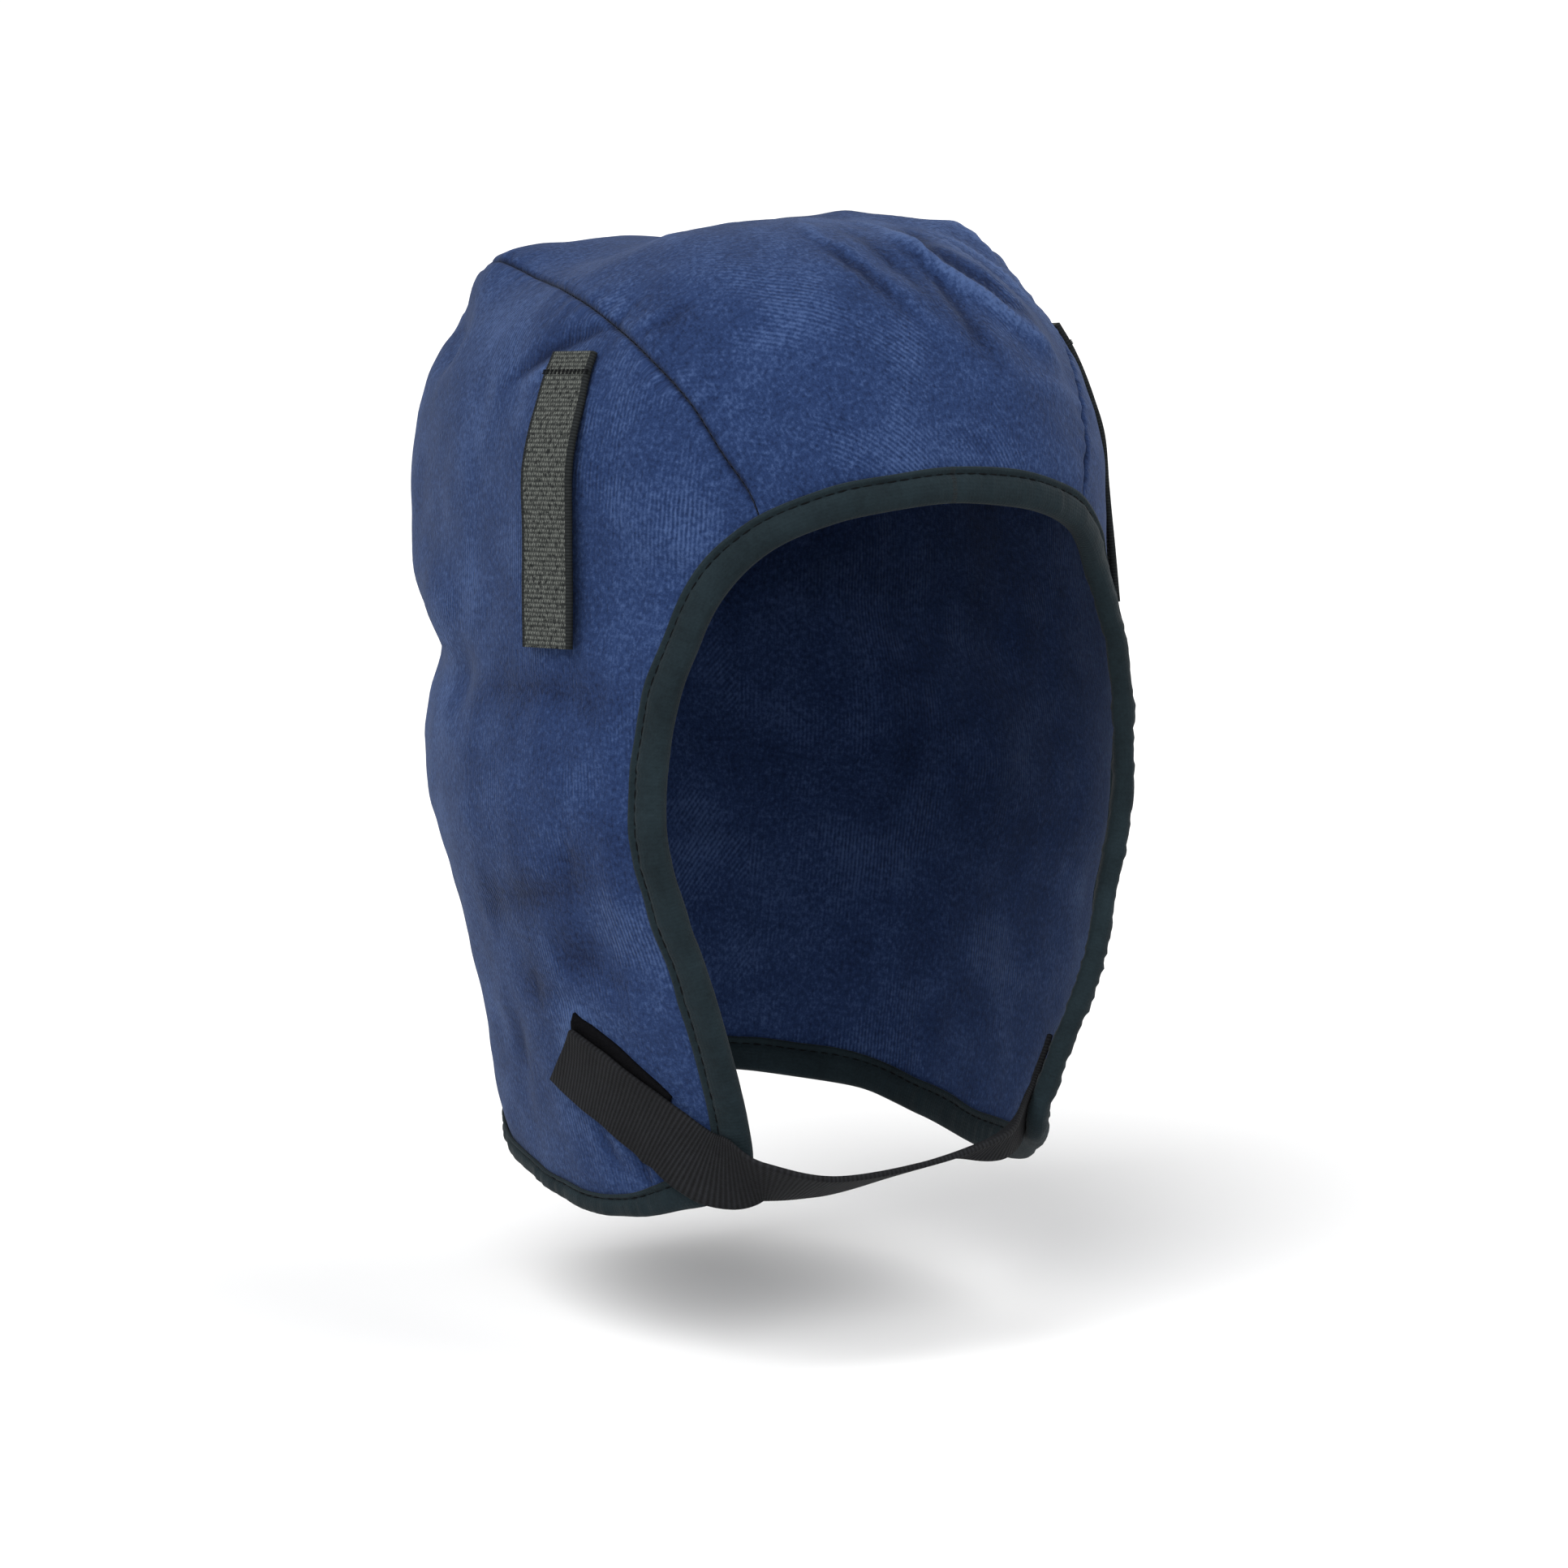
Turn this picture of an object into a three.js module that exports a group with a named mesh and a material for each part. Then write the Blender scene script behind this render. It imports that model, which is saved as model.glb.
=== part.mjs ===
import * as THREE from 'three';

// A padded cloth helmet liner: a close hood with a crown strip between two side panels, a bound
// edge, a tab on each side that grips a helmet's band, and a chin strap.
// Millimetres. The wearer looks along -Y, +Z is up and +X is the wearer's left.
// The origin is the top of the hollow, where the wearer's crown sits.

// Hood
const HOOD_WIDTH = 164; // widest, over the ears
const HOOD_DEPTH = 205; // from the forehead to the back of the head
const HOOD_DROP = 246; // from the top of the crown to the lowest point of the hem
const CLOTH_WALL = 2.4; // padded cloth, outer face to inner face
const LEFT_HITCH = 7; // how much higher the left flap's corner is drawn up
const HITCH_REACH = 65; // how far from that corner the edge follows it

// Fits
const SEAM_GAP = 0.3; // between two panels at their seam
const SEAM_DIP = 0.9; // how far the stitching pulls the outer face in
const SEW_GAP = 0.35; // between a piece and the cloth that it is sewn on

// Edge binding
const BINDING_WIDTH = 9; // each leg, from the folded edge inward
const HEM_LEG = 6; // the outer leg along the hem, where the cloth overhangs it
const BINDING_TAPE = 0.8; // thickness

// Helmet tabs
const TAB_WIDTH = 20;
const TAB_LENGTH = 74;
const TAB_THICKNESS = 1.6;
const TAB_STAND_OFF = 1.3; // how far the free stretch stands off the cloth

// Chin strap and the loop patch that it closes on
const STRAP_WIDTH = 20;
const STRAP_THICKNESS = 1.5;
const STRAP_SLANT = 6; // how much further along the loose end's upper corner is cut
const PATCH_LENGTH = 32;
const PATCH_WIDTH = 20;
const PATCH_THICKNESS = 1;
const PATCH_INSET = 4; // from the strap's end to the patch's end
const PATCH_SHIFT = 3.2; // how far the patch shows above the strap

// Level sections of the hood's outer face. down is a share of HOOD_DROP, halfWidth of HOOD_WIDTH,
// front and back of HOOD_DEPTH.
const SECTIONS = [
  { down: 0, halfWidth: 0.466, front: 0.424, back: 0.576 },
  { down: 0.32, halfWidth: 0.466, front: 0.424, back: 0.576 },
  { down: 0.447, halfWidth: 0.482, front: 0.463, back: 0.502 },
  { down: 0.586, halfWidth: 0.5, front: 0.459, back: 0.468 },
  { down: 0.724, halfWidth: 0.456, front: 0.444, back: 0.405 },
  { down: 0.852, halfWidth: 0.415, front: 0.393, back: 0.38 },
  { down: 0.92, halfWidth: 0.398, front: 0.365, back: 0.369 },
  { down: 0.99, halfWidth: 0.372, front: 0.334, back: 0.346 },
  { down: 1.06, halfWidth: 0.33, front: 0.295, back: 0.305 },
];
const FRONT_ROUNDNESS = 2.3; // exponent of a section's front half
const BACK_ROUNDNESS = 2.55; // exponent of its back half
const DOME_ROUNDNESS = 2.66; // exponent of the crown's profile
const DOME_DOWN = 0.32; // share of HOOD_DROP that the dome takes
const HEART = { side: 0, fore: 0.02, down: 0.488 }; // every point of the hood is seen from here

// The folded edge from the forehead's middle round the face, the flap's corner and the hem to the
// nape's middle, on the wearer's right. side is a share of HOOD_WIDTH, fore of HOOD_DEPTH, down
// of HOOD_DROP, here and in the tables below.
const EDGE = [
  { side: 0, fore: -0.424, down: 0.262 },
  { side: -0.091, fore: -0.418, down: 0.268 },
  { side: -0.175, fore: -0.403, down: 0.279 },
  { side: -0.262, fore: -0.373, down: 0.305, name: 'seam front' },
  { side: -0.318, fore: -0.34, down: 0.349 },
  { side: -0.355, fore: -0.326, down: 0.405 },
  { side: -0.39, fore: -0.314, down: 0.482 },
  { side: -0.401, fore: -0.313, down: 0.566 },
  { side: -0.377, fore: -0.323, down: 0.654 },
  { side: -0.314, fore: -0.33, down: 0.777 },
  { side: -0.262, fore: -0.315, down: 0.88 },
  { side: -0.248, fore: -0.303, down: 0.931 },
  { side: -0.258, fore: -0.283, down: 0.952, name: 'flap corner' },
  { side: -0.285, fore: -0.255, down: 0.967 },
  { side: -0.32, fore: -0.214, down: 0.984 },
  { side: -0.362, fore: -0.118, down: 1.006 },
  { side: -0.38, fore: 0.024, down: 1.008 },
  { side: -0.365, fore: 0.142, down: 0.989 },
  { side: -0.31, fore: 0.25, down: 0.963 },
  { side: -0.18, fore: 0.33, down: 0.942, name: 'seam back' },
  { side: 0, fore: 0.36, down: 0.936 },
];

// The seam between the crown and the right side panel, between the edge's two seam rows.
const SEAM = [
  { side: -0.281, fore: -0.358, down: 0.255 },
  { side: -0.311, fore: -0.329, down: 0.213 },
  { side: -0.337, fore: -0.285, down: 0.164 },
  { side: -0.359, fore: -0.217, down: 0.124 },
  { side: -0.366, fore: -0.134, down: 0.095 },
  { side: -0.352, fore: 0.01, down: 0.07 },
  { side: -0.318, fore: 0.15, down: 0.061 },
  { side: -0.3, fore: 0.25, down: 0.057 },
  { side: -0.285, fore: 0.36, down: 0.075 },
  { side: -0.27, fore: 0.47, down: 0.17, name: 'rear corner' },
  { side: -0.245, fore: 0.5, down: 0.33 },
  { side: -0.225, fore: 0.46, down: 0.52 },
  { side: -0.205, fore: 0.4, down: 0.72 },
];

// Dents and folds. Each runs between two places on the hood. rise is outward where positive and
// width is the half width of its swell, both shares of HOOD_WIDTH.
const FOLDS = [
  { from: [-0.3, 0.3, 0.05], to: [-0.285, 0.38, 0.09], rise: 0.032, width: 0.09 }, // rear corner
  { from: [0.3, 0.3, 0.05], to: [0.285, 0.38, 0.09], rise: 0.024, width: 0.09 }, // rear corner
  { from: [-0.2, 0.12, 0.02], to: [0.02, 0.2, 0.01], rise: -0.03, width: 0.13 }, // crown's hollow
  { from: [0.33, 0.14, 0.05], to: [0.3, -0.05, 0.05], rise: 0.026, width: 0.075 }, // left ridge
  { from: [0.16, 0.05, 0.01], to: [0.25, -0.03, 0.02], rise: 0.018, width: 0.06 }, // left crown
  { from: [0.03, -0.26, 0.04], to: [0.2, -0.34, 0.11], rise: -0.01, width: 0.05 }, // crown fold
  { from: [0.1, -0.2, 0.03], to: [0.25, -0.31, 0.11], rise: 0.009, width: 0.04 }, // crown fold
  { from: [0.28, -0.2, 0.06], to: [0.29, -0.32, 0.16], rise: -0.014, width: 0.09 }, // left brow
  { from: [-0.315, 0.39, 0.105], to: [-0.37, 0.3, 0.13], rise: -0.026, width: 0.05 }, // below corner
  { from: [-0.36, 0.41, 0.19], to: [-0.4, 0.38, 0.27], rise: 0.013, width: 0.09 }, // rear swell
  { from: [-0.4, 0.33, 0.37], to: [-0.44, 0.2, 0.4], rise: 0.012, width: 0.065 }, // above ear
  { from: [-0.36, 0.38, 0.45], to: [-0.46, 0.12, 0.465], rise: -0.02, width: 0.05 }, // right ear
  { from: [-0.46, 0.1, 0.46], to: [-0.45, -0.15, 0.46], rise: -0.006, width: 0.075 }, // right ear
  { from: [0.36, 0.38, 0.44], to: [0.46, 0.1, 0.46], rise: -0.014, width: 0.07 }, // left ear
  { from: [-0.37, -0.13, 0.1], to: [-0.43, 0, 0.16], rise: -0.007, width: 0.045 }, // above tab
  { from: [-0.475, -0.16, 0.61], to: [-0.43, -0.19, 0.71], rise: -0.009, width: 0.07 }, // cheek
  { from: [0.43, -0.25, 0.58], to: [0.4, -0.27, 0.67], rise: -0.012, width: 0.08 }, // left cheek
  { from: [0.32, -0.26, 0.9], to: [0.33, -0.2, 0.95], rise: -0.015, width: 0.1 }, // left flap
  { from: [-0.16, 0.44, 0.62], to: [0.16, 0.44, 0.6], rise: -0.012, width: 0.09 }, // nape
];

// The helmet tabs. top and foot are the middles of their ends.
const TABS = [
  { name: 'helmet_tab_right', top: [-0.406, -0.098, 0.124], foot: [-0.463, -0.135, 0.412] },
  { name: 'helmet_tab_left', top: [0.395, -0.095, 0.118], foot: [0.46, -0.14, 0.4] },
];
const TAB_SEWN = 0.2; // share of TAB_LENGTH that lies flat under its stitches
const TAB_BEND = 0.42; // share of TAB_LENGTH where the straight free stretch begins

// The chin strap's centre line from its loose end on the right flap to its sewn end inside the
// left one. hold is 1 where it lies on the hood's outside, -1 inside and 0 where it is free;
// turn is the share by which its face is turned from outward to down.
const STRAP = [
  { side: -0.42, fore: -0.076, down: 0.822, hold: 1, turn: 0 },
  { side: -0.386, fore: -0.169, down: 0.857, hold: 1, turn: 0 },
  { side: -0.343, fore: -0.229, down: 0.891, hold: 1, turn: 0 },
  { side: -0.295, fore: -0.27, down: 0.92, hold: 1, turn: 0 },
  { side: -0.24, fore: -0.328, down: 0.932, hold: 0.4, turn: 0.58 },
  { side: -0.146, fore: -0.345, down: 0.938, hold: 0, turn: 0.64 },
  { side: 0, fore: -0.345, down: 0.929, hold: 0, turn: 0.7 },
  { side: 0.12, fore: -0.325, down: 0.92, hold: 0, turn: 0.64 },
  { side: 0.215, fore: -0.28, down: 0.913, hold: -0.7, turn: 0.3 },
  { side: 0.28, fore: -0.264, down: 0.9, hold: -1, turn: 0 },
  { side: 0.33, fore: -0.22, down: 0.865, hold: -1, turn: 0 },
];

// How finely the pieces are faceted
const CELLS = { seamTop: 25, seamBack: 22, crown: 12, strap: 40, strapAcross: 5, patch: 8, rowStep: 12 };
const BEND_WEIGHT = 14; // millimetres of edge that one radian of turning counts for

const COLOURS = {
  cloth: { color: 0x2b3a6b, roughness: 0.92, metalness: 0 },
  binding: { color: 0x1b2428, roughness: 0.95, metalness: 0 },
  tab: { color: 0x35393a, roughness: 0.9, metalness: 0 },
  webbing: { color: 0x17181b, roughness: 0.85, metalness: 0 },
};

function at(side, fore, down) {
  return new THREE.Vector3(side * HOOD_WIDTH, fore * HOOD_DEPTH, CLOTH_WALL - down * HOOD_DROP);
}

function atRow(row) {
  return at(row.side, row.fore, row.down);
}

function mirrored(point) {
  return new THREE.Vector3(-point.x, point.y, point.z);
}

// A curve through rows that never overshoots them: a monotone cubic in the first key.
function throughRows(rows, key, value) {
  const steps = rows.slice(1).map((row, i) => row[key] - rows[i][key]);
  const slopes = steps.map((step, i) => (rows[i + 1][value] - rows[i][value]) / step);
  const ends = rows.map((row, i) => {
    if (i === 0) return slopes[0];
    if (i === slopes.length) return slopes[i - 1];
    if (slopes[i - 1] * slopes[i] <= 0) return 0;
    const before = 2 * steps[i] + steps[i - 1];
    const after = steps[i] + 2 * steps[i - 1];
    return (before + after) / (before / slopes[i - 1] + after / slopes[i]);
  });
  return (wanted) => {
    const last = rows.length - 1;
    const x = Math.min(Math.max(wanted, rows[0][key]), rows[last][key]);
    const i = Math.min(rows.findLastIndex((row) => row[key] <= x), last - 1);
    const t = (x - rows[i][key]) / steps[i];
    const rest = 1 - t;
    return rows[i][value] * rest * rest * (1 + 2 * t)
      + ends[i] * steps[i] * t * rest * rest
      + rows[i + 1][value] * t * t * (3 - 2 * t)
      - ends[i + 1] * steps[i] * t * t * rest;
  };
}

const halfWidthAt = throughRows(SECTIONS, 'down', 'halfWidth');
const frontAt = throughRows(SECTIONS, 'down', 'front');
const backAt = throughRows(SECTIONS, 'down', 'back');
const heart = atRow(HEART);

// Below 1 inside the hood's smooth outer form, above 1 outside it.
function formLevel(point) {
  const down = (CLOTH_WALL - point.z) / HOOD_DROP;
  if (down <= 0) return Infinity;
  const rest = Math.max(0, (DOME_DOWN - down) / DOME_DOWN);
  const dome = (1 - rest ** DOME_ROUNDNESS) ** (1 / DOME_ROUNDNESS);
  const across = halfWidthAt(down) * HOOD_WIDTH * dome;
  const ahead = point.y < 0;
  const along = (ahead ? frontAt(down) : backAt(down)) * HOOD_DEPTH * dome;
  const roundness = ahead ? FRONT_ROUNDNESS : BACK_ROUNDNESS;
  return (Math.abs(point.x) / across) ** roundness + (Math.abs(point.y) / along) ** roundness;
}

// The point of the smooth form that is seen from its heart in a guess's direction.
function onForm(guess) {
  const ray = guess.clone().sub(heart).normalize();
  const point = new THREE.Vector3();
  let near = 0;
  let far = HOOD_WIDTH + HOOD_DEPTH;
  while (far - near > 1e-6) {
    const middle = (near + far) / 2;
    point.copy(heart).addScaledVector(ray, middle);
    if (formLevel(point) < 1) near = middle;
    else far = middle;
  }
  return point;
}

function formNormal(point) {
  const ray = point.clone().sub(heart);
  const steep = Math.abs(ray.z) > Math.abs(ray.x);
  const helper = new THREE.Vector3(steep ? 1 : 0, 0, steep ? 0 : 1);
  const across = ray.clone().cross(helper).normalize();
  const along = ray.clone().cross(across).normalize();
  const [a, b, c, d] = [across, along].flatMap((way) => [1, -1].map(
    (sign) => onForm(point.clone().addScaledVector(way, sign)),
  ));
  const normal = a.sub(b).cross(c.sub(d)).normalize();
  return normal.dot(ray) < 0 ? normal.negate() : normal;
}

// The folds as short paths on the form.
const foldPaths = FOLDS.map((fold) => {
  const start = at(...fold.from);
  const end = at(...fold.to);
  const path = Array.from({ length: 9 }, (_, i) => onForm(start.clone().lerp(end, i / 8)));
  return { path, rise: fold.rise * HOOD_WIDTH, width: fold.width * HOOD_WIDTH };
});

function distanceToPath(point, path) {
  const nearest = new THREE.Vector3();
  return Math.min(...path.slice(1).map((end, i) => {
    new THREE.Line3(path[i], end).closestPointToPoint(point, true, nearest);
    return nearest.distanceTo(point);
  }));
}

function foldRise(point) {
  return foldPaths.reduce((sum, fold) => {
    const share = distanceToPath(point, fold.path) / fold.width;
    return sum + fold.rise * Math.exp(-share * share);
  }, 0);
}

// A place on the hood's folded outer face, lifted along the normal.
function onHood(guess, lift = 0) {
  const point = onForm(guess);
  return point.addScaledVector(formNormal(point), foldRise(point) + lift);
}

// The point of the form that is nearest to a guess close by.
function nearestOnForm(guess) {
  let point = onForm(guess);
  for (let pass = 0; pass < 3; pass += 1) {
    const normal = formNormal(point);
    const height = guess.clone().sub(point).dot(normal);
    point = onForm(guess.clone().addScaledVector(normal, -height));
  }
  return point;
}

// A fine curve through a row of points, with a fixed number of steps between two of them.
function fineCurve(points) {
  const curve = new THREE.CatmullRomCurve3(points, false, 'centripetal');
  return curve.getPoints((points.length - 1) * CELLS.rowStep);
}

// Points of a fine curve in steps that are shorter where it bends.
function inSteps(fine, cells) {
  const reach = [0];
  for (let i = 1; i < fine.length; i += 1) {
    const step = fine[i].clone().sub(fine[i - 1]);
    const next = i + 1 < fine.length ? fine[i + 1].clone().sub(fine[i]) : step;
    reach.push(reach[i - 1] + step.length() + BEND_WEIGHT * step.angleTo(next));
  }
  return Array.from({ length: cells + 1 }, (_, k) => {
    const wanted = reach[reach.length - 1] * (k / cells);
    const i = Math.min(Math.max(reach.findIndex((value) => value >= wanted), 1), fine.length - 1);
    const share = (wanted - reach[i - 1]) / (reach[i] - reach[i - 1]);
    return fine[i - 1].clone().lerp(fine[i], share);
  });
}

// The bound edge: stations on the folded edge, each with the way into the cloth.
const rowNamed = (rows, name) => rows.findIndex((row) => row.name === name);
const edgePoints = EDGE.map(atRow);
const edgeFine = fineCurve([mirrored(edgePoints[1]), ...edgePoints, mirrored(edgePoints.at(-2))])
  .slice(CELLS.rowStep, -CELLS.rowStep);

function edgeStations(fromName, toName, cells) {
  const from = fromName ? rowNamed(EDGE, fromName) * CELLS.rowStep : 0;
  const to = toName ? rowNamed(EDGE, toName) * CELLS.rowStep : (EDGE.length - 1) * CELLS.rowStep;
  const fine = edgeFine.slice(from, to + 1);
  const places = inSteps(fine, cells).map(onForm);
  return places.map((place) => {
    const nearest = edgeFine.reduce((best, point, i) => (
      point.distanceTo(place) < edgeFine[best].distanceTo(place) ? i : best), 0);
    const before = edgeFine[Math.max(nearest - 3, 0)].clone();
    const after = edgeFine[Math.min(nearest + 3, edgeFine.length - 1)].clone();
    if (nearest < 3) before.copy(mirrored(after));
    if (nearest > edgeFine.length - 4) after.copy(mirrored(before));
    const inward = after.sub(before).cross(formNormal(place)).normalize();
    return { place, inward };
  });
}

// The left half mirrors the right, but its flap corner is drawn up a little.
function leftStation({ place, inward }) {
  const away = place.distanceTo(edgePoints[rowNamed(EDGE, 'flap corner')]) / HITCH_REACH;
  const hitch = LEFT_HITCH * Math.max(0, 1 - away * away) ** 2;
  return { place: onForm(mirrored(place).setZ(place.z + hitch)), inward: mirrored(inward) };
}

const brow = edgeStations(null, 'seam front', CELLS.crown / 2);
const face = edgeStations('seam front', 'flap corner', CELLS.seamBack);
const hem = edgeStations('flap corner', 'seam back', CELLS.seamTop);
const nape = edgeStations('seam back', null, CELLS.crown / 2);
const clothEdge = (station) => onForm(
  station.place.clone().addScaledVector(station.inward, BINDING_TAPE + SEW_GAP),
);

// The right seam from the brow to the rear corner and on down to the nape.
const seamPoints = [clothEdge(face[0]), ...SEAM.map(atRow), clothEdge(hem.at(-1))];
const seamFine = fineCurve(seamPoints).map(onForm);
const cornerIndex = (rowNamed(SEAM, 'rear corner') + 1) * CELLS.rowStep;
const seamTop = inSteps(seamFine.slice(0, cornerIndex + 1), CELLS.seamTop);
const seamBack = inSteps(seamFine.slice(cornerIndex), CELLS.seamBack);
const seam = [...seamTop, ...seamBack.slice(1)];

// Closed solids from grids of points
function bodyFrom(points, triangles) {
  const geometry = new THREE.BufferGeometry();
  geometry.setAttribute('position', new THREE.Float32BufferAttribute(points.flatMap((p) => p.toArray()), 3));
  const volume = triangles.reduce((sum, [a, b, c]) => (
    sum + points[a].dot(points[b].clone().cross(points[c]))), 0);
  const facing = volume < 0 ? triangles.map(([a, b, c]) => [a, c, b]) : triangles;
  geometry.setIndex(facing.flat());
  geometry.computeVertexNormals();
  return geometry;
}

// A wall between an outer and an inner grid of the same rows and columns.
function wallBetween(outer, inner) {
  const rows = outer.length;
  const columns = outer[0].length;
  const half = rows * columns;
  const triangles = [];
  const index = (i, j, side) => side * half + i * columns + j;
  for (let i = 0; i + 1 < rows; i += 1) {
    for (let j = 0; j + 1 < columns; j += 1) {
      const [a, b] = [index(i, j, 0), index(i, j + 1, 0)];
      const [c, d] = [index(i + 1, j + 1, 0), index(i + 1, j, 0)];
      triangles.push([a, b, c], [a, c, d]);
      triangles.push([a + half, c + half, b + half], [a + half, d + half, c + half]);
    }
  }
  const border = [];
  for (let j = 0; j + 1 < columns; j += 1) border.push([0, j]);
  for (let i = 0; i + 1 < rows; i += 1) border.push([i, columns - 1]);
  for (let j = columns - 1; j > 0; j -= 1) border.push([rows - 1, j]);
  for (let i = rows - 1; i > 0; i -= 1) border.push([i, 0]);
  border.forEach(([i, j], k) => {
    const [nextI, nextJ] = border[(k + 1) % border.length];
    const [a, b] = [index(i, j, 0), index(nextI, nextJ, 0)];
    triangles.push([a, b + half, b], [a, a + half, b + half]);
  });
  return bodyFrom([...outer.flat(), ...inner.flat()], triangles);
}

// A closed band whose section is the same ring of points at each station.
function closedBand(sections) {
  const size = sections[0].length;
  const triangles = [];
  sections.forEach((_, i) => {
    const next = (i + 1) % sections.length;
    for (let j = 0; j < size; j += 1) {
      const [a, b] = [i * size + j, i * size + ((j + 1) % size)];
      const [c, d] = [next * size + ((j + 1) % size), next * size + j];
      triangles.push([a, b, c], [a, c, d]);
    }
  });
  return bodyFrom(sections.flat(), triangles);
}

// A cloth panel from a grid of places on the form. seamOf gives a border cell's neighbour inside
// the panel where the border is a seam.
function clothPanel(places, seamOf) {
  const count = seam.length - 1;
  const outer = [];
  const inner = [];
  places.forEach((row, i) => {
    outer.push([]);
    inner.push([]);
    row.forEach((place, j) => {
      const normal = formNormal(place);
      const top = place.clone().addScaledVector(normal, foldRise(place));
      const sewn = seamOf(i, j);
      let dip = 0;
      if (sewn) {
        const [nextI, nextJ] = sewn.neighbour;
        const inward = places[nextI][nextJ].clone().sub(place);
        inward.addScaledVector(normal, -inward.dot(normal)).normalize();
        top.addScaledVector(inward, SEAM_GAP / 2);
        const fromEnd = Math.min(sewn.step, count - sewn.step) - 1;
        dip = SEAM_DIP * THREE.MathUtils.smoothstep(fromEnd, 0, 3);
      }
      outer[i].push(top.clone().addScaledVector(normal, -dip));
      inner[i].push(top.clone().addScaledVector(normal, -CLOTH_WALL));
    });
  });
  return wallBetween(outer, inner);
}

function crownPanel() {
  const last = CELLS.crown;
  const front = [...brow.toReversed(), ...brow.slice(1).map(leftStation)].map(clothEdge);
  const back = [...nape, ...nape.slice(0, -1).toReversed().map(leftStation)].map(clothEdge);
  const places = seam.map((right, i) => {
    const v = i / (seam.length - 1);
    return front.map((_, j) => {
      const chord = (points, k) => points[0].clone().lerp(points.at(-1), k / last);
      const guess = right.clone().lerp(mirrored(right), j / last);
      guess.addScaledVector(front[j].clone().sub(chord(front, j)), (1 - v) ** 2);
      guess.addScaledVector(back[j].clone().sub(chord(back, j)), v ** 2);
      return onForm(guess);
    });
  });
  return clothPanel(places, (i, j) => {
    if (j > 0 && j < last) return null;
    return { neighbour: [i, j === 0 ? 1 : last - 1], step: i };
  });
}

// A side panel between the seam's top, the seam's back, the hem and the face edge.
function sidePanel(side) {
  const turned = side < 0 ? (point) => point : mirrored;
  const stationOf = side < 0 ? (station) => station : leftStation;
  const front = face.map((station) => clothEdge(stationOf(station)));
  const foot = hem.map((station) => clothEdge(stationOf(station)));
  const top = seamTop.map(turned);
  const back = seamBack.map(turned);
  const [rows, columns] = [CELLS.seamBack, CELLS.seamTop];
  const places = front.map((start, i) => top.map((_, j) => {
    const [v, u] = [i / rows, j / columns];
    const guess = new THREE.Vector3();
    guess.addScaledVector(top[j], 1 - v).addScaledVector(foot[j], v);
    guess.addScaledVector(start, 1 - u).addScaledVector(back[i], u);
    guess.addScaledVector(top[0], -(1 - u) * (1 - v)).addScaledVector(top[columns], -u * (1 - v));
    guess.addScaledVector(foot[0], -(1 - u) * v).addScaledVector(foot[columns], -u * v);
    return onForm(guess);
  }));
  return clothPanel(places, (i, j) => {
    if (i === 0) return { neighbour: [1, j], step: j };
    if (j === columns) return { neighbour: [i, columns - 1], step: columns + i };
    return null;
  });
}

// Tape folded round the whole edge: at each station a U that stays clear of the cloth.
function edgeBinding() {
  const above = [...brow, ...face.slice(1)];
  const below = [...hem.slice(1), ...nape.slice(1)];
  const right = [...above, ...below].map((station, i) => {
    const share = THREE.MathUtils.smoothstep(i - above.length, 3, 9);
    return { ...station, leg: THREE.MathUtils.lerp(BINDING_WIDTH, HEM_LEG, share) };
  });
  const left = right.slice(1, -1).toReversed();
  const stations = [...right, ...left.map((station) => ({ ...station, ...leftStation(station) }))];
  const outside = SEW_GAP + BINDING_TAPE;
  const inside = -CLOTH_WALL - outside;
  const half = BINDING_WIDTH / 2;
  const section = (leg) => [
    [leg, outside], [leg / 2, outside], [BINDING_TAPE, outside], [0, 0],
    [0, -CLOTH_WALL], [BINDING_TAPE, inside], [half, inside], [BINDING_WIDTH, inside],
    [BINDING_WIDTH, -CLOTH_WALL - SEW_GAP], [half, -CLOTH_WALL - SEW_GAP],
    [BINDING_TAPE, -CLOTH_WALL - SEW_GAP], [BINDING_TAPE, SEW_GAP], [leg / 2, SEW_GAP],
    [leg, SEW_GAP],
  ];
  return closedBand(stations.map(({ place, inward, leg }) => section(leg).map(
    ([depth, height]) => onHood(place.clone().addScaledVector(inward, depth), height),
  )));
}

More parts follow.
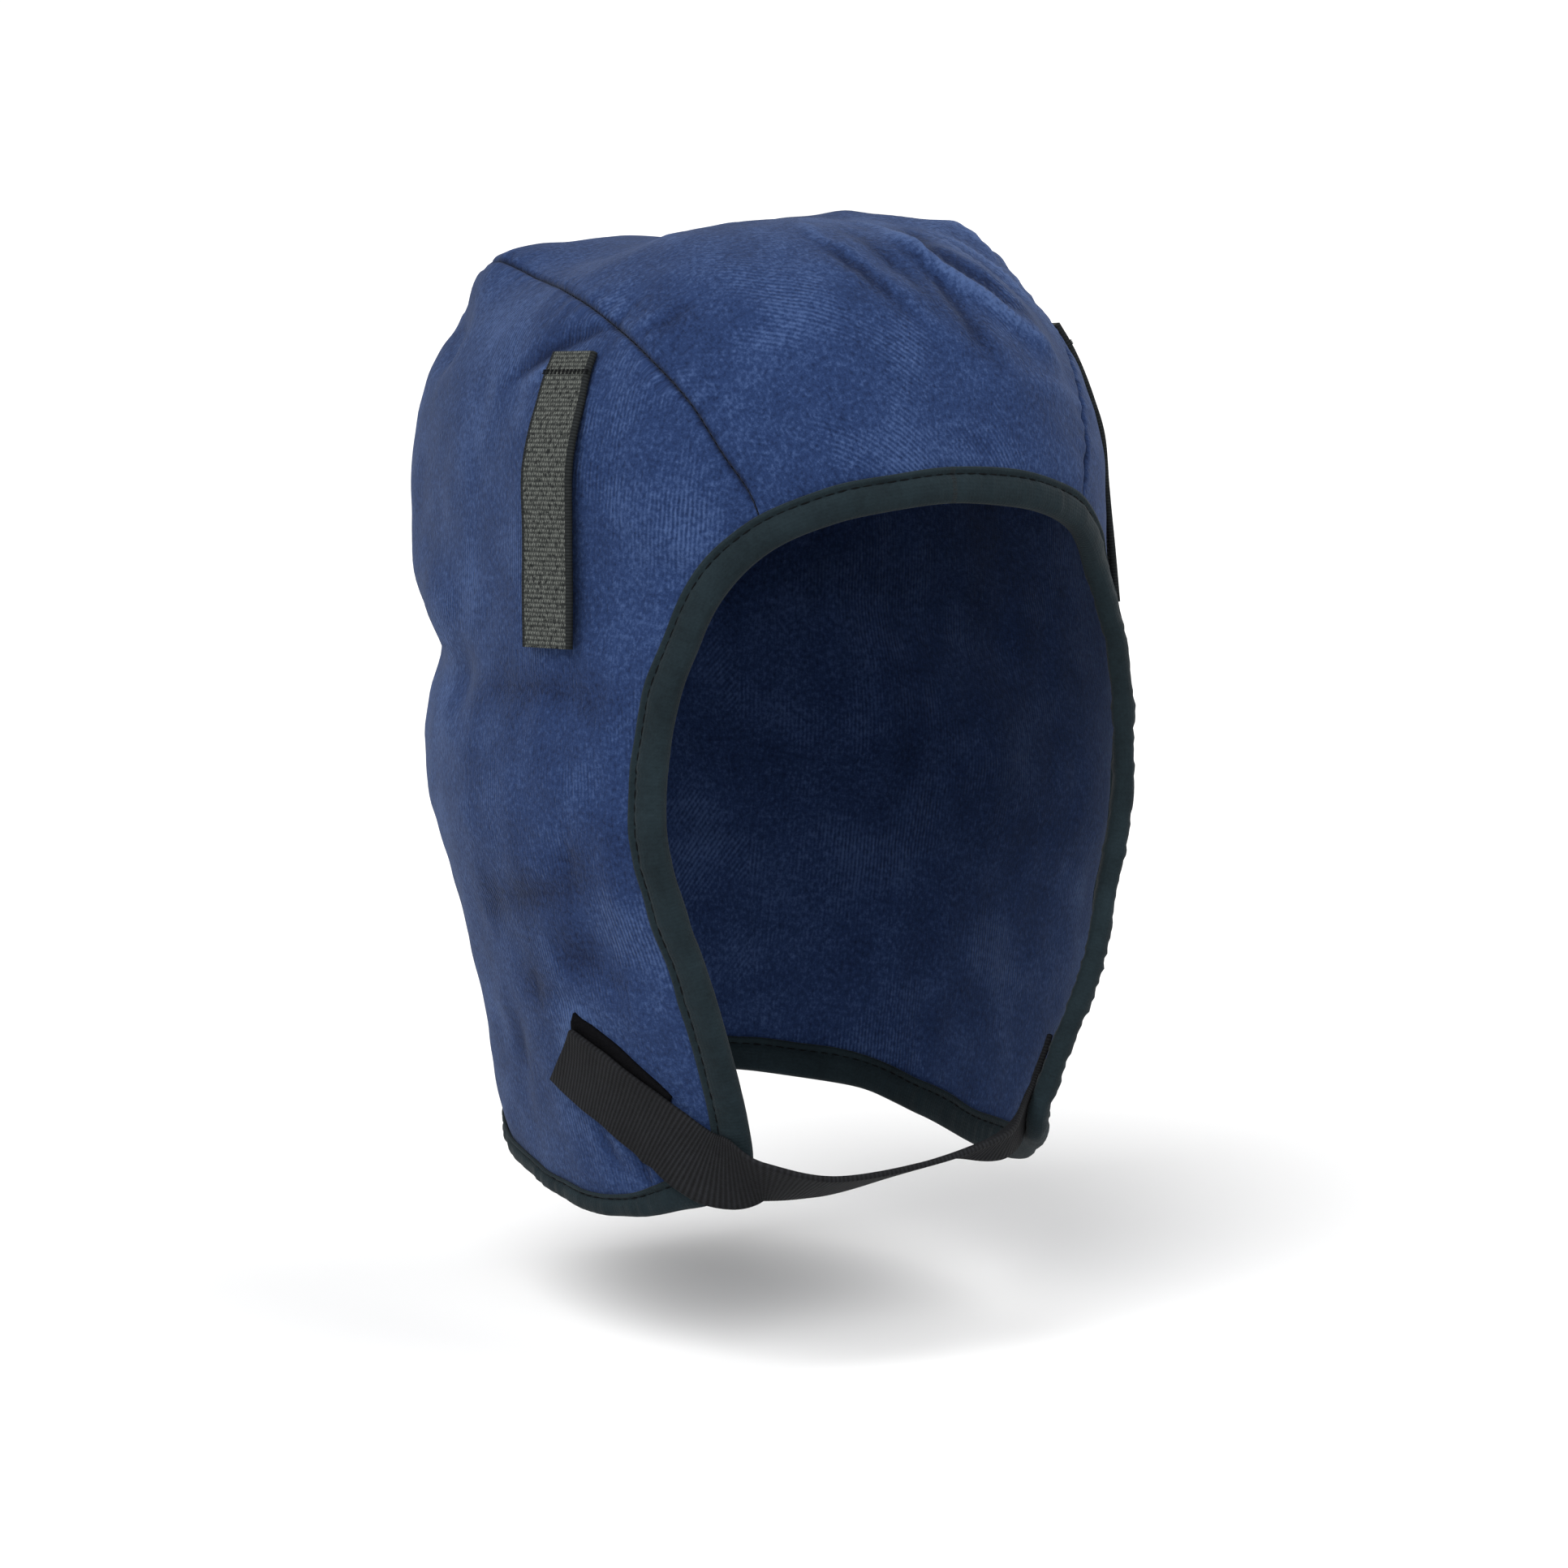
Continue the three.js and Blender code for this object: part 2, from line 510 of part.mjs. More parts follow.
// A tab sewn down at its top, with a straight free stretch that stands off the cloth.
function helmetTab({ top, foot }) {
  const start = onForm(at(...top));
  const end = onForm(at(...foot));
  const run = end.clone().sub(start).normalize();
  const placeAt = (share, lift) => onHood(start.clone().addScaledVector(run, share * TAB_LENGTH), lift);
  const stand = SEW_GAP + TAB_STAND_OFF;
  const bend = placeAt(TAB_BEND, stand);
  const straight = placeAt(1, stand).sub(bend).normalize();
  const outward = formNormal(onForm(bend));
  const across = straight.clone().cross(outward).normalize();
  const out = across.clone().cross(straight);
  const shares = [0, TAB_SEWN / 2, TAB_SEWN, (TAB_SEWN + TAB_BEND) / 2];
  const centres = shares.map((share) => {
    const lift = share <= TAB_SEWN ? SEW_GAP : (SEW_GAP + stand) / 2;
    return placeAt(share, lift);
  });
  centres.push(bend);
  centres.push(bend.clone().addScaledVector(straight, (1 - TAB_BEND) * TAB_LENGTH));
  const inner = [];
  const outer = [];
  centres.forEach((centre, i) => {
    const before = centres[Math.max(i - 1, 0)];
    const after = centres[Math.min(i + 1, centres.length - 1)];
    const along = i < centres.length - 2 ? after.clone().sub(before).normalize() : straight;
    const up = i < centres.length - 2 ? across.clone().cross(along).normalize() : out;
    const edge = [-TAB_WIDTH / 2, TAB_WIDTH / 2].map(
      (offset) => centre.clone().addScaledVector(across, offset),
    );
    inner.push(edge);
    outer.push(edge.map((point) => point.clone().addScaledVector(up, TAB_THICKNESS)));
  });
  return wallBetween(outer, inner);
}

// The strap's centre line in even steps, with its hold and turn.
const strapCurve = new THREE.CatmullRomCurve3(STRAP.map(atRow), false, 'centripetal');
const strapLength = strapCurve.getLength();
const holdAt = throughRows(STRAP.map((row, i) => ({ ...row, i })), 'i', 'hold');
const turnAt = throughRows(STRAP.map((row, i) => ({ ...row, i })), 'i', 'turn');
const STRAP_LIFT = Math.max(PATCH_THICKNESS, BINDING_TAPE) + 2 * SEW_GAP;
const STRAP_SINK = CLOTH_WALL + BINDING_TAPE + 2 * SEW_GAP + STRAP_THICKNESS;

// The frame of the strap at a share of its length: centre, across, face and hold.
function strapFrame(share) {
  const t = strapCurve.getUtoTmapping(share);
  const centre = strapCurve.getPoint(t);
  const along = strapCurve.getTangent(t);
  const rowShare = t * (STRAP.length - 1);
  const turn = turnAt(rowShare);
  const facing = formNormal(onForm(centre)).multiplyScalar(1 - turn);
  facing.z -= turn;
  const across = along.clone().cross(facing).normalize();
  const normal = across.clone().cross(along).normalize();
  return { centre, across, normal, hold: holdAt(rowShare) };
}

// A point beside the strap's centre line, above its inner face by height.
function strapPoint({ centre, across, normal, hold }, offset, height) {
  const free = centre.clone().addScaledVector(across, offset).addScaledVector(normal, height);
  if (hold === 0) return free;
  const lift = hold > 0 ? STRAP_LIFT : -STRAP_SINK;
  const foot = nearestOnForm(centre.clone().addScaledVector(across, offset));
  const laid = onHood(foot, lift + height);
  return free.lerp(laid, Math.abs(hold));
}

function chinStrap() {
  const gridAt = (height) => Array.from({ length: CELLS.strap + 1 }, (_, i) => (
    Array.from({ length: CELLS.strapAcross + 1 }, (__, j) => {
      const lower = j / CELLS.strapAcross;
      const slant = (STRAP_SLANT / strapLength) * (1 - lower);
      const share = slant + (1 - slant) * (i / CELLS.strap);
      return strapPoint(strapFrame(share), STRAP_WIDTH * (lower - 0.5), height);
    })));
  return wallBetween(gridAt(STRAP_THICKNESS), gridAt(0));
}

// The loop patch under the strap's loose end, shown a little above the strap.
function strapPatch() {
  const gridAt = (height) => Array.from({ length: CELLS.patch + 1 }, (_, i) => {
    const along = PATCH_INSET + PATCH_LENGTH * (i / CELLS.patch);
    const { centre, across } = strapFrame(along / strapLength);
    return Array.from({ length: CELLS.strapAcross + 1 }, (__, j) => {
      const offset = PATCH_WIDTH * (j / CELLS.strapAcross - 0.5) - PATCH_SHIFT;
      return onHood(centre.clone().addScaledVector(across, offset), SEW_GAP + height);
    });
  });
  return wallBetween(gridAt(PATCH_THICKNESS), gridAt(0));
}

const liner = new THREE.Group();

function addPiece(name, geometry, colour) {
  const piece = new THREE.Mesh(geometry, new THREE.MeshStandardMaterial(COLOURS[colour]));
  piece.name = name;
  liner.add(piece);
}

addPiece('crown_panel', crownPanel(), 'cloth');
addPiece('side_panel_right', sidePanel(-1), 'cloth');
addPiece('side_panel_left', sidePanel(1), 'cloth');
addPiece('edge_binding', edgeBinding(), 'binding');
TABS.forEach((tab) => addPiece(tab.name, helmetTab(tab), 'tab'));
addPiece('strap_patch', strapPatch(), 'webbing');
addPiece('chin_strap', chinStrap(), 'webbing');

export default liner;
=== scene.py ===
# %% [markdown]
# # A cloth helmet liner
# This is a close hood that is worn under a safety helmet. A strip of navy twill runs from the
# forehead over the crown to the nape, a side panel covers each ear, and a dark tape is folded
# round every edge. A hook tape tab sits on each temple and a webbing strap passes under the chin.
# The script loads the measured solids as a fixed frame and then makes each piece again as cloth.

# %% Load the measured frame
import math

import bpy
import numpy as np
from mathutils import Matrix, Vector


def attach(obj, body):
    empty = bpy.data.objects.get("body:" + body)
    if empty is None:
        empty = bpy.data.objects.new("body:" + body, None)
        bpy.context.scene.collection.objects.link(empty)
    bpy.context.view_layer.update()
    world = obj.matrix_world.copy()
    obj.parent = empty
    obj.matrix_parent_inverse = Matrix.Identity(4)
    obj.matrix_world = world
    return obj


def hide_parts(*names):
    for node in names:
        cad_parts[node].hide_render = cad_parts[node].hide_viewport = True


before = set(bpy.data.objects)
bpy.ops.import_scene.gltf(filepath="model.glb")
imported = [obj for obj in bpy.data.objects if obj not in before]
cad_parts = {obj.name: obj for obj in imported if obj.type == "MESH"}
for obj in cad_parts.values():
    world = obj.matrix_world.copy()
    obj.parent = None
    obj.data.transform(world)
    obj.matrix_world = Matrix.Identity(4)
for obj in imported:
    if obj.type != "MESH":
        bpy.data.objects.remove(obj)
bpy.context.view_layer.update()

print("measured pieces:", ", ".join(sorted(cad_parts)))

# %% [markdown]
# ## The camera
# The hood is seen from its right front and from a little above. A long lens keeps the
# proportions calm, as a studio photograph of a small object does.

# %% Camera
MM = 0.001
CAMERA_AZIMUTH = -28.0
CAMERA_ELEVATION = 8.0
CAMERA_DISTANCE = 1300.0
CAMERA_TARGET = np.array([0.0, 0.0, -125.6])
FRAME_WIDTH = 398.96
FRAME_SHIFT = (0.0034, -0.0391)


def view_direction(azimuth, elevation):
    """The direction from the object to the camera."""
    turn, rise = math.radians(azimuth), math.radians(elevation)
    return np.array([math.sin(turn) * math.cos(rise), -math.cos(turn) * math.cos(rise),
                     math.sin(rise)])


def aim(thing, place, target):
    """Put an object at a place, in millimetres, and turn it to face the target."""
    thing.location = Vector(place * MM)
    thing.rotation_euler = Vector((target - place) * MM).to_track_quat("-Z", "Y").to_euler()


camera_data = bpy.data.cameras.new("camera")
camera = bpy.data.objects.new("camera", camera_data)
bpy.context.collection.objects.link(camera)
bpy.context.scene.camera = camera
to_camera = view_direction(CAMERA_AZIMUTH, CAMERA_ELEVATION)
aim(camera, CAMERA_TARGET + to_camera * CAMERA_DISTANCE, CAMERA_TARGET)
camera_data.sensor_width = 36.0
camera_data.lens = camera_data.sensor_width * CAMERA_DISTANCE / FRAME_WIDTH
camera_data.shift_x, camera_data.shift_y = FRAME_SHIFT
camera_data.clip_start, camera_data.clip_end = 0.05, 20.0
print("lens:", round(camera_data.lens, 1), "mm")

# %% [markdown]
# ## Sizes
# A hood has no simple outline, so its form is kept as a short table of level sections, from the
# crown down. Each row gives the half width and the reach to the front and to the back as shares of
# the hood's own width and depth. The tables of the edge, the seam, the folds and the strap are
# shares of the same sizes, and they say what the measured solids say.

# %% Sizes in millimetres
HOOD_WIDTH, HOOD_DEPTH, HOOD_DROP = 164.0, 205.0, 246.0
CLOTH_WALL = 2.4
LEFT_HITCH, HITCH_REACH = 7.0, 65.0
SEW_GAP = 0.35
BINDING_WIDTH, HEM_LEG, BINDING_TAPE = 9.0, 6.0, 0.8
TAB_WIDTH, TAB_LENGTH, TAB_THICKNESS, TAB_STAND_OFF = 20.0, 74.0, 1.6, 1.3
TAB_SEWN, TAB_BEND = 0.2, 0.42
STRAP_WIDTH, STRAP_THICKNESS, STRAP_SLANT = 20.0, 1.5, 6.0
PATCH_LENGTH, PATCH_WIDTH, PATCH_THICKNESS = 32.0, 20.0, 1.0
PATCH_INSET, PATCH_SHIFT = 4.0, 3.2
FRONT_ROUNDNESS, BACK_ROUNDNESS, DOME_ROUNDNESS, DOME_DOWN = 2.3, 2.55, 2.66, 0.32

# Down, half width, front, back.
SECTIONS = np.array([
    (0, 0.466, 0.424, 0.576), (0.32, 0.466, 0.424, 0.576), (0.447, 0.482, 0.463, 0.502),
    (0.586, 0.5, 0.459, 0.468), (0.724, 0.456, 0.444, 0.405), (0.852, 0.415, 0.393, 0.38),
    (0.92, 0.398, 0.365, 0.369), (0.99, 0.372, 0.334, 0.346), (1.06, 0.33, 0.295, 0.305)])


def at(rows):
    """Rows of (side, fore, down) shares as places in millimetres."""
    rows = np.asarray(rows, float)
    scale = np.array([HOOD_WIDTH, HOOD_DEPTH, -HOOD_DROP])
    return rows * scale + np.array([0.0, 0.0, CLOTH_WALL])


def mirrored(points):
    return points * np.array([-1.0, 1.0, 1.0])


HEART = at([0, 0.02, 0.488])

# The folded edge on the wearer's right, from the forehead's middle to the nape's middle.
EDGE = at([
    (0, -0.424, 0.262), (-0.091, -0.418, 0.268), (-0.175, -0.403, 0.279), (-0.262, -0.373, 0.305),
    (-0.318, -0.34, 0.349), (-0.355, -0.326, 0.405), (-0.39, -0.314, 0.482),
    (-0.401, -0.313, 0.566), (-0.377, -0.323, 0.654), (-0.314, -0.33, 0.777),
    (-0.262, -0.315, 0.88), (-0.248, -0.303, 0.931), (-0.258, -0.283, 0.952),
    (-0.285, -0.255, 0.967), (-0.32, -0.214, 0.984), (-0.362, -0.118, 1.006),
    (-0.38, 0.024, 1.008), (-0.365, 0.142, 0.989), (-0.31, 0.25, 0.963), (-0.18, 0.33, 0.942),
    (0, 0.36, 0.936)])
SEAM_FRONT, FLAP_CORNER, SEAM_BACK = 3, 12, 19

# The seam between the crown strip and the right side panel.
SEAM = at([
    (-0.281, -0.358, 0.255), (-0.311, -0.329, 0.213), (-0.337, -0.285, 0.164),
    (-0.359, -0.217, 0.124), (-0.366, -0.134, 0.095), (-0.352, 0.01, 0.07),
    (-0.318, 0.15, 0.061), (-0.3, 0.25, 0.057), (-0.285, 0.36, 0.075), (-0.27, 0.47, 0.17),
    (-0.245, 0.5, 0.33), (-0.225, 0.46, 0.52), (-0.205, 0.4, 0.72)])
REAR_CORNER = 9
print("hood:", HOOD_WIDTH, "wide,", HOOD_DEPTH, "deep,", HOOD_DROP, "tall")

# %% [markdown]
# ## The form
# A rule, and not a sculpted mesh, says where the cloth's outer face is. A place is inside the
# form where its level is below 1. Every guess is then pulled on to the form along the ray from
# the middle of the head, by halving the distance until it fits. The same few lines place every
# panel, tape, tab and strap, so they all agree.

# %% Form of the hood


def through_rows(keys, values):
    """A curve through rows that never overshoots them."""
    steps = np.diff(keys)
    slopes = np.diff(values) / steps
    ends = np.empty(len(keys))
    ends[0], ends[-1] = slopes[0], slopes[-1]
    for i in range(1, len(keys) - 1):
        before, after = 2 * steps[i] + steps[i - 1], steps[i] + 2 * steps[i - 1]
        turns = slopes[i - 1] * slopes[i] <= 0
        ends[i] = 0 if turns else (before + after) / (before / slopes[i - 1] + after / slopes[i])

    def value(wanted):
        x = np.clip(wanted, keys[0], keys[-1])
        i = np.clip(np.searchsorted(keys, x, side="right") - 1, 0, len(steps) - 1)
        t = (x - keys[i]) / steps[i]
        rest = 1 - t
        return (values[i] * rest * rest * (1 + 2 * t) + ends[i] * steps[i] * t * rest * rest
                + values[i + 1] * t * t * (3 - 2 * t) - ends[i + 1] * steps[i] * t * t * rest)

    return value


half_width_at, front_at, back_at = (through_rows(SECTIONS[:, 0], SECTIONS[:, k])
                                    for k in (1, 2, 3))


def form_level(points):
    down = (CLOTH_WALL - points[:, 2]) / HOOD_DROP
    below = np.maximum(down, 1e-6)
    rest = np.clip((DOME_DOWN - below) / DOME_DOWN, 0, 1)
    dome = (1 - rest ** DOME_ROUNDNESS) ** (1 / DOME_ROUNDNESS)
    across = half_width_at(below) * HOOD_WIDTH * dome
    ahead = points[:, 1] < 0
    along = np.where(ahead, front_at(below), back_at(below)) * HOOD_DEPTH * dome
    roundness = np.where(ahead, FRONT_ROUNDNESS, BACK_ROUNDNESS)
    level = ((np.abs(points[:, 0]) / across) ** roundness
             + (np.abs(points[:, 1]) / along) ** roundness)
    return np.where(down <= 0, np.inf, level)


def unit(vectors):
    return vectors / np.maximum(np.linalg.norm(vectors, axis=-1, keepdims=True), 1e-12)


def on_form(guesses):
    """The places on the smooth form that are seen from the heart in the guesses' directions."""
    guesses = np.asarray(guesses, float)
    rays = unit(guesses.reshape(-1, 3) - HEART)
    near, far = np.zeros(len(rays)), np.full(len(rays), HOOD_WIDTH + HOOD_DEPTH)
    for _ in range(36):
        middle = (near + far) / 2
        inside = form_level(HEART + rays * middle[:, None]) < 1
        near, far = np.where(inside, middle, near), np.where(inside, far, middle)
    return (HEART + rays * near[:, None]).reshape(guesses.shape)


def form_normal(points):
    """The outward direction of the form at its points."""
    flat = points.reshape(-1, 3)
    rays = flat - HEART
    steep = np.abs(rays[:, 2]) > np.abs(rays[:, 0])
    helper = np.where(steep[:, None], [1.0, 0.0, 0.0], [0.0, 0.0, 1.0])
    across = unit(np.cross(rays, helper))
    along = unit(np.cross(rays, across))
    a, b, c, d = (on_form(flat + sign * way) for way in (across, along) for sign in (1, -1))
    normal = unit(np.cross(a - b, c - d))
    normal *= np.sign(np.sum(normal * rays, axis=1, keepdims=True))
    return normal.reshape(points.shape)


print("crown stands", round(float(on_form([[0, 1, 50]])[0, 2]), 2), "mm above the hollow's top")

# %% [markdown]
# ## Folds
# Each fold, dent or wrinkle runs along a short path on the form, and the cloth rises or sinks
# along it like a soft swell. The large ones are also in the measured solids. The fine ones are
# pulls and creases that only show close up, such as those that fan out over the crown and under
# the strap.

# %% Folds
# From, to, rise and half width, the last two as shares of the hood's width.
LARGE_FOLDS = [
    ((-0.3, 0.3, 0.05), (-0.285, 0.38, 0.09), 0.032, 0.09),
    ((0.3, 0.3, 0.05), (0.285, 0.38, 0.09), 0.024, 0.09),
    ((-0.2, 0.12, 0.02), (0.02, 0.2, 0.01), -0.03, 0.13),
    ((0.33, 0.14, 0.05), (0.3, -0.05, 0.05), 0.026, 0.075),
    ((0.16, 0.05, 0.01), (0.25, -0.03, 0.02), 0.018, 0.06),
    ((0.03, -0.26, 0.04), (0.2, -0.34, 0.11), -0.01, 0.05),
    ((0.1, -0.2, 0.03), (0.25, -0.31, 0.11), 0.009, 0.04),
    ((0.28, -0.2, 0.06), (0.29, -0.32, 0.16), -0.014, 0.09),
    ((-0.315, 0.39, 0.105), (-0.37, 0.3, 0.13), -0.026, 0.05),
    ((-0.36, 0.41, 0.19), (-0.4, 0.38, 0.27), 0.013, 0.09),
    ((-0.4, 0.33, 0.37), (-0.44, 0.2, 0.4), 0.012, 0.065),
    ((-0.36, 0.38, 0.45), (-0.46, 0.12, 0.465), -0.02, 0.05),
    ((-0.46, 0.1, 0.46), (-0.45, -0.15, 0.46), -0.006, 0.075),
    ((0.36, 0.38, 0.44), (0.46, 0.1, 0.46), -0.014, 0.07),
    ((-0.37, -0.13, 0.1), (-0.43, 0, 0.16), -0.007, 0.045),
    ((-0.475, -0.16, 0.61), (-0.43, -0.19, 0.71), -0.009, 0.07),
    ((0.43, -0.25, 0.58), (0.4, -0.27, 0.67), -0.012, 0.08),
    ((0.32, -0.26, 0.9), (0.33, -0.2, 0.95), -0.015, 0.1),
    ((-0.16, 0.44, 0.62), (0.16, 0.44, 0.6), -0.012, 0.09),
]

# Paths in millimetres, with rise and half width in millimetres.
FINE_FOLDS = [
    # fan over the crown
    ([(15, -17, 2), (13, -39, -2), (16, -53, -7), (24, -60, -13), (34, -65, -21), (46, -64, -31)], 1.81, 1.7),
    ([(27, -16, 0), (18, -45, -4), (24, -54, -9), (32, -60, -16), (42, -59, -22)], -1.89, 2.3),
    ([(33, -21, -2), (43, -31, -8), (49, -37, -14), (52, -42, -18)], 1.45, 1.8),
    ([(22, -10, 1), (31, -32, -4), (40, -42, -12), (47, -48, -20)], 1.01, 1.6),
    ([(28, -22, -1), (36, -36, -6), (44, -43, -14), (49, -50, -22)], -1.3, 1.8),
    ([(-10, -36, -1), (-8, -52, -6), (-4, -63, -12), (0, -69, -18), (4, -73, -22)], -1.81, 2.3),
    ([(-4, -16, 2), (-9, -38, -1), (-5, -51, -6), (-3, -58, -9)], 1.16, 1.9),
    ([(-4, -58, -9), (-1, -66, -15), (3, -71, -20), (8, -74, -24)], 1.3, 1.9),
    ([(10, -42, -3), (14, -56, -9), (15, -67, -17), (16, -73, -24), (19, -77, -30)], -1.45, 2.2),
    ([(3, -20, 2), (3, -44, -3), (6, -58, -9), (8, -68, -17)], -1.01, 2.0),
    # puckers that break the crown's outline on the left
    ([(44, 4, -1), (46, -12, -4), (50, -26, -10)], 1.5, 2.6),
    ([(48, 0, -5), (50, -14, -8), (53, -26, -14)], -1.4, 2.4),
    ([(51, -6, -8), (53, -20, -12), (56, -34, -20)], 1.5, 2.6),
    ([(54, -8, -14), (56, -22, -18), (58, -34, -24)], -1.3, 2.4),
    # across the crown from the tab
    ([(-72, 9, -37), (-69, -2, -31), (-67, -10, -26), (-63, -19, -23), (-60, -27, -21)], -1.5, 1.9),
    ([(-72, 3, -39), (-70, -8, -33), (-67, -20, -28)], 0.9, 2.2),
    ([(-59, -32, -22), (-56, -37, -19), (-52, -41, -18)], 0.7, 1.5),
    ([(-57, -39, -23), (-54, -43, -21), (-49, -44, -17), (-46, -45, -15)], -0.6, 1.7),
    ([(-21, 34, 0), (-38, -20, -3), (-32, -26, -2)], 0.6, 3.0),
    # brow
    ([(3, -85, -45), (9, -85, -48), (14, -85, -51)], -0.6, 1.8),
    ([(24, -76, -32), (34, -74, -36), (52, -63, -41)], 0.6, 2.6),
    # ear and cheek
    ([(-77, -35.5, -154), (-78, -34, -146)], -0.9, 5.0),
    ([(-78, 1, -165), (-78, -24, -160), (-75, -40, -155)], -1.0, 4.5),
    ([(-70, -40, -174), (-75, -20, -176)], -0.9, 6.0),
    ([(-78, -2, -163), (-77, 14, -172)], -0.9, 7.0),
    ([(-78, 26, -112), (-76, -34, -109), (-71, -50, -111)], -0.7, 5.0),
    ([(-74, -9, -180), (-72, -8, -187), (-71, -7, -191)], -0.8, 4.5),
    ([(-71, 8, -195), (-69, 10, -203), (-67, 9, -211)], -0.9, 5.0),
    # gathers round the strap's loose end
    ([(-68, -15, -202), (-70, -22, -193), (-69, -31, -190)], 0.8, 2.6),
    ([(-64, -24, -218), (-62, -28, -225), (-61, -30, -229)], -0.9, 1.6),
    ([(-62.5, -31, -221), (-61, -33, -226)], 0.6, 1.4),
    ([(-59, -38, -222), (-57, -38, -230), (-56, -40, -233)], -1.0, 1.6),
    ([(-57, -42, -224), (-55, -43, -231), (-54, -44, -233)], -0.8, 1.3),
    ([(-58, -40, -223), (-56, -41, -232)], 0.6, 1.2),
]


def distance_to_path(points, path, chunk=6000):
    """Distance to a line of points, the share of its length at the nearest place, and its side."""
    starts, ways = path[:-1], np.diff(path, axis=0)
    lengths = np.linalg.norm(ways, axis=1)
    reach = np.concatenate([[0], np.cumsum(lengths)])
    distance, share = np.empty(len(points)), np.empty(len(points))
    for low in range(0, len(points), chunk):
        part = points[low:low + chunk, None] - starts[None]
        t = np.clip(np.einsum("nsk,sk->ns", part, ways) / lengths ** 2, 0, 1)
        gap = np.linalg.norm(part - t[..., None] * ways[None], axis=2)
        best = np.argmin(gap, axis=1)
        rows = np.arange(len(best))
        distance[low:low + chunk] = gap[rows, best]
        share[low:low + chunk] = (reach[best] + t[rows, best] * lengths[best]) / reach[-1]
    return distance, share


def laid_path(corners, steps):
    """A path on the form through a few corners."""
    corners = np.asarray(corners, float)
    t = np.linspace(0, len(corners) - 1, steps)
    return on_form(np.stack([np.interp(t, np.arange(len(corners)), corners[:, k])
                             for k in range(3)], axis=1))


large_paths = [(laid_path(at([a, b]), 9), rise * HOOD_WIDTH, width * HOOD_WIDTH)
               for a, b, rise, width in LARGE_FOLDS]
fine_paths = [(laid_path(corners, 24), rise, width) for corners, rise, width in FINE_FOLDS]


def large_rise(points):
    flat = points.reshape(-1, 3)
    total = np.zeros(len(flat))
    for path, rise, width in large_paths:
        distance, _ = distance_to_path(flat, path)
        total += rise * np.exp(-(distance / width) ** 2)
    return total.reshape(points.shape[:-1])


def fine_rise(points):
    flat = points.reshape(-1, 3)
    total = np.zeros(len(flat))
    for path, rise, width in fine_paths:
        distance, share = distance_to_path(flat, path)
        fade = np.sin(np.pi * np.clip(share, 0.04, 0.96)) ** 0.6
        total += rise * np.exp(-(distance / width) ** 1.35) * fade
    return total.reshape(points.shape[:-1])


print(len(large_paths), "large folds and", len(fine_paths), "fine ones")

# %% [markdown]
# ## Small unevenness
# Worn cotton is never quite smooth. A few dozen slow waves in fixed random directions give it
# a soft rumple. A fixed seed makes the same hood each time.

# %% Rumple


def rumple(points, seed, shortest, longest, height, waves=28):
    """A smooth field of small bumps, at most about the given height."""
    rng = np.random.default_rng(seed)
    ways = unit(rng.normal(size=(waves, 3)))
    lengths = np.exp(rng.uniform(math.log(shortest), math.log(longest), waves))
    phases = rng.uniform(0, 2 * math.pi, waves)
    sizes = lengths / lengths.max()
    flat = points.reshape(-1, 3)
    total = np.sin(flat @ (ways / lengths[:, None]).T * 2 * math.pi + phases) @ sizes
    return (height * total / math.sqrt(np.sum(sizes ** 2) / 2) / 2).reshape(points.shape[:-1])


def cloth_rise(points):
    """How far the worn cloth stands off the smooth form at places on it."""
    soft = rumple(points, 3, 26, 70, 0.55) + rumple(points, 4, 8, 20, 0.24)
    return large_rise(points) + fine_rise(points) + soft


def on_hood(guesses, lift=0.0):
    """Places on the worn cloth's outer face, lifted along the normal."""
    points = on_form(guesses)
    height = cloth_rise(points) + lift
    return points + form_normal(points) * height[..., None]


def nearest_on_form(guesses):
    points = on_form(guesses)
    for _ in range(3):
        normal = form_normal(points)
        height = np.sum((guesses - points) * normal, axis=-1, keepdims=True)
        points = on_form(guesses - normal * height)
    return points


print("rumple at the crown:", np.round(cloth_rise(on_form([[5.0, 5.0, 50.0]])), 3))

# %% [markdown]
# ## The folded edge and the seams
# A tailor marks the edge and the seam lines on the form first, and so does this cell. Each line
# is a smooth curve through its table's rows. At every step of the edge the way into the cloth is
# known too, which the tape and its stitches follow later.

# %% Edge and seam lines


def fine_curve(points, steps, before=None, after=None):
    """A centripetal curve through points, with a number of steps between two of them."""
    before = 2 * points[0] - points[1] if before is None else before
    after = 2 * points[-1] - points[-2] if after is None else after
    p = np.vstack([before, points, after])
    gaps = np.linalg.norm(np.diff(p, axis=0), axis=1) ** 0.5
    t = (np.arange(steps) / steps)[:, None]
    parts = []
    for i in range(1, len(p) - 2):
        d0, d1, d2 = gaps[i - 1:i + 2]
        a, b, c, d = p[i - 1:i + 3]
        start = ((b - a) / d0 - (c - a) / (d0 + d1) + (c - b) / d1) * d1
        end = ((c - b) / d1 - (d - b) / (d1 + d2) + (d - c) / d2) * d1
        parts.append(b + start * t + (3 * (c - b) - 2 * start - end) * t ** 2
                     + (2 * (b - c) + start + end) * t ** 3)
    return np.vstack(parts + [p[-2:-1]])


def resample(points, shares):
    """Points at shares of a line's length."""
    reach = np.concatenate([[0], np.cumsum(np.linalg.norm(np.diff(points, axis=0), axis=1))])
    wanted = np.asarray(shares) * reach[-1]
    return np.stack([np.interp(wanted, reach, points[:, k]) for k in range(points.shape[1])], axis=1)


def line_length(points):
    return float(np.linalg.norm(np.diff(points, axis=0), axis=1).sum())


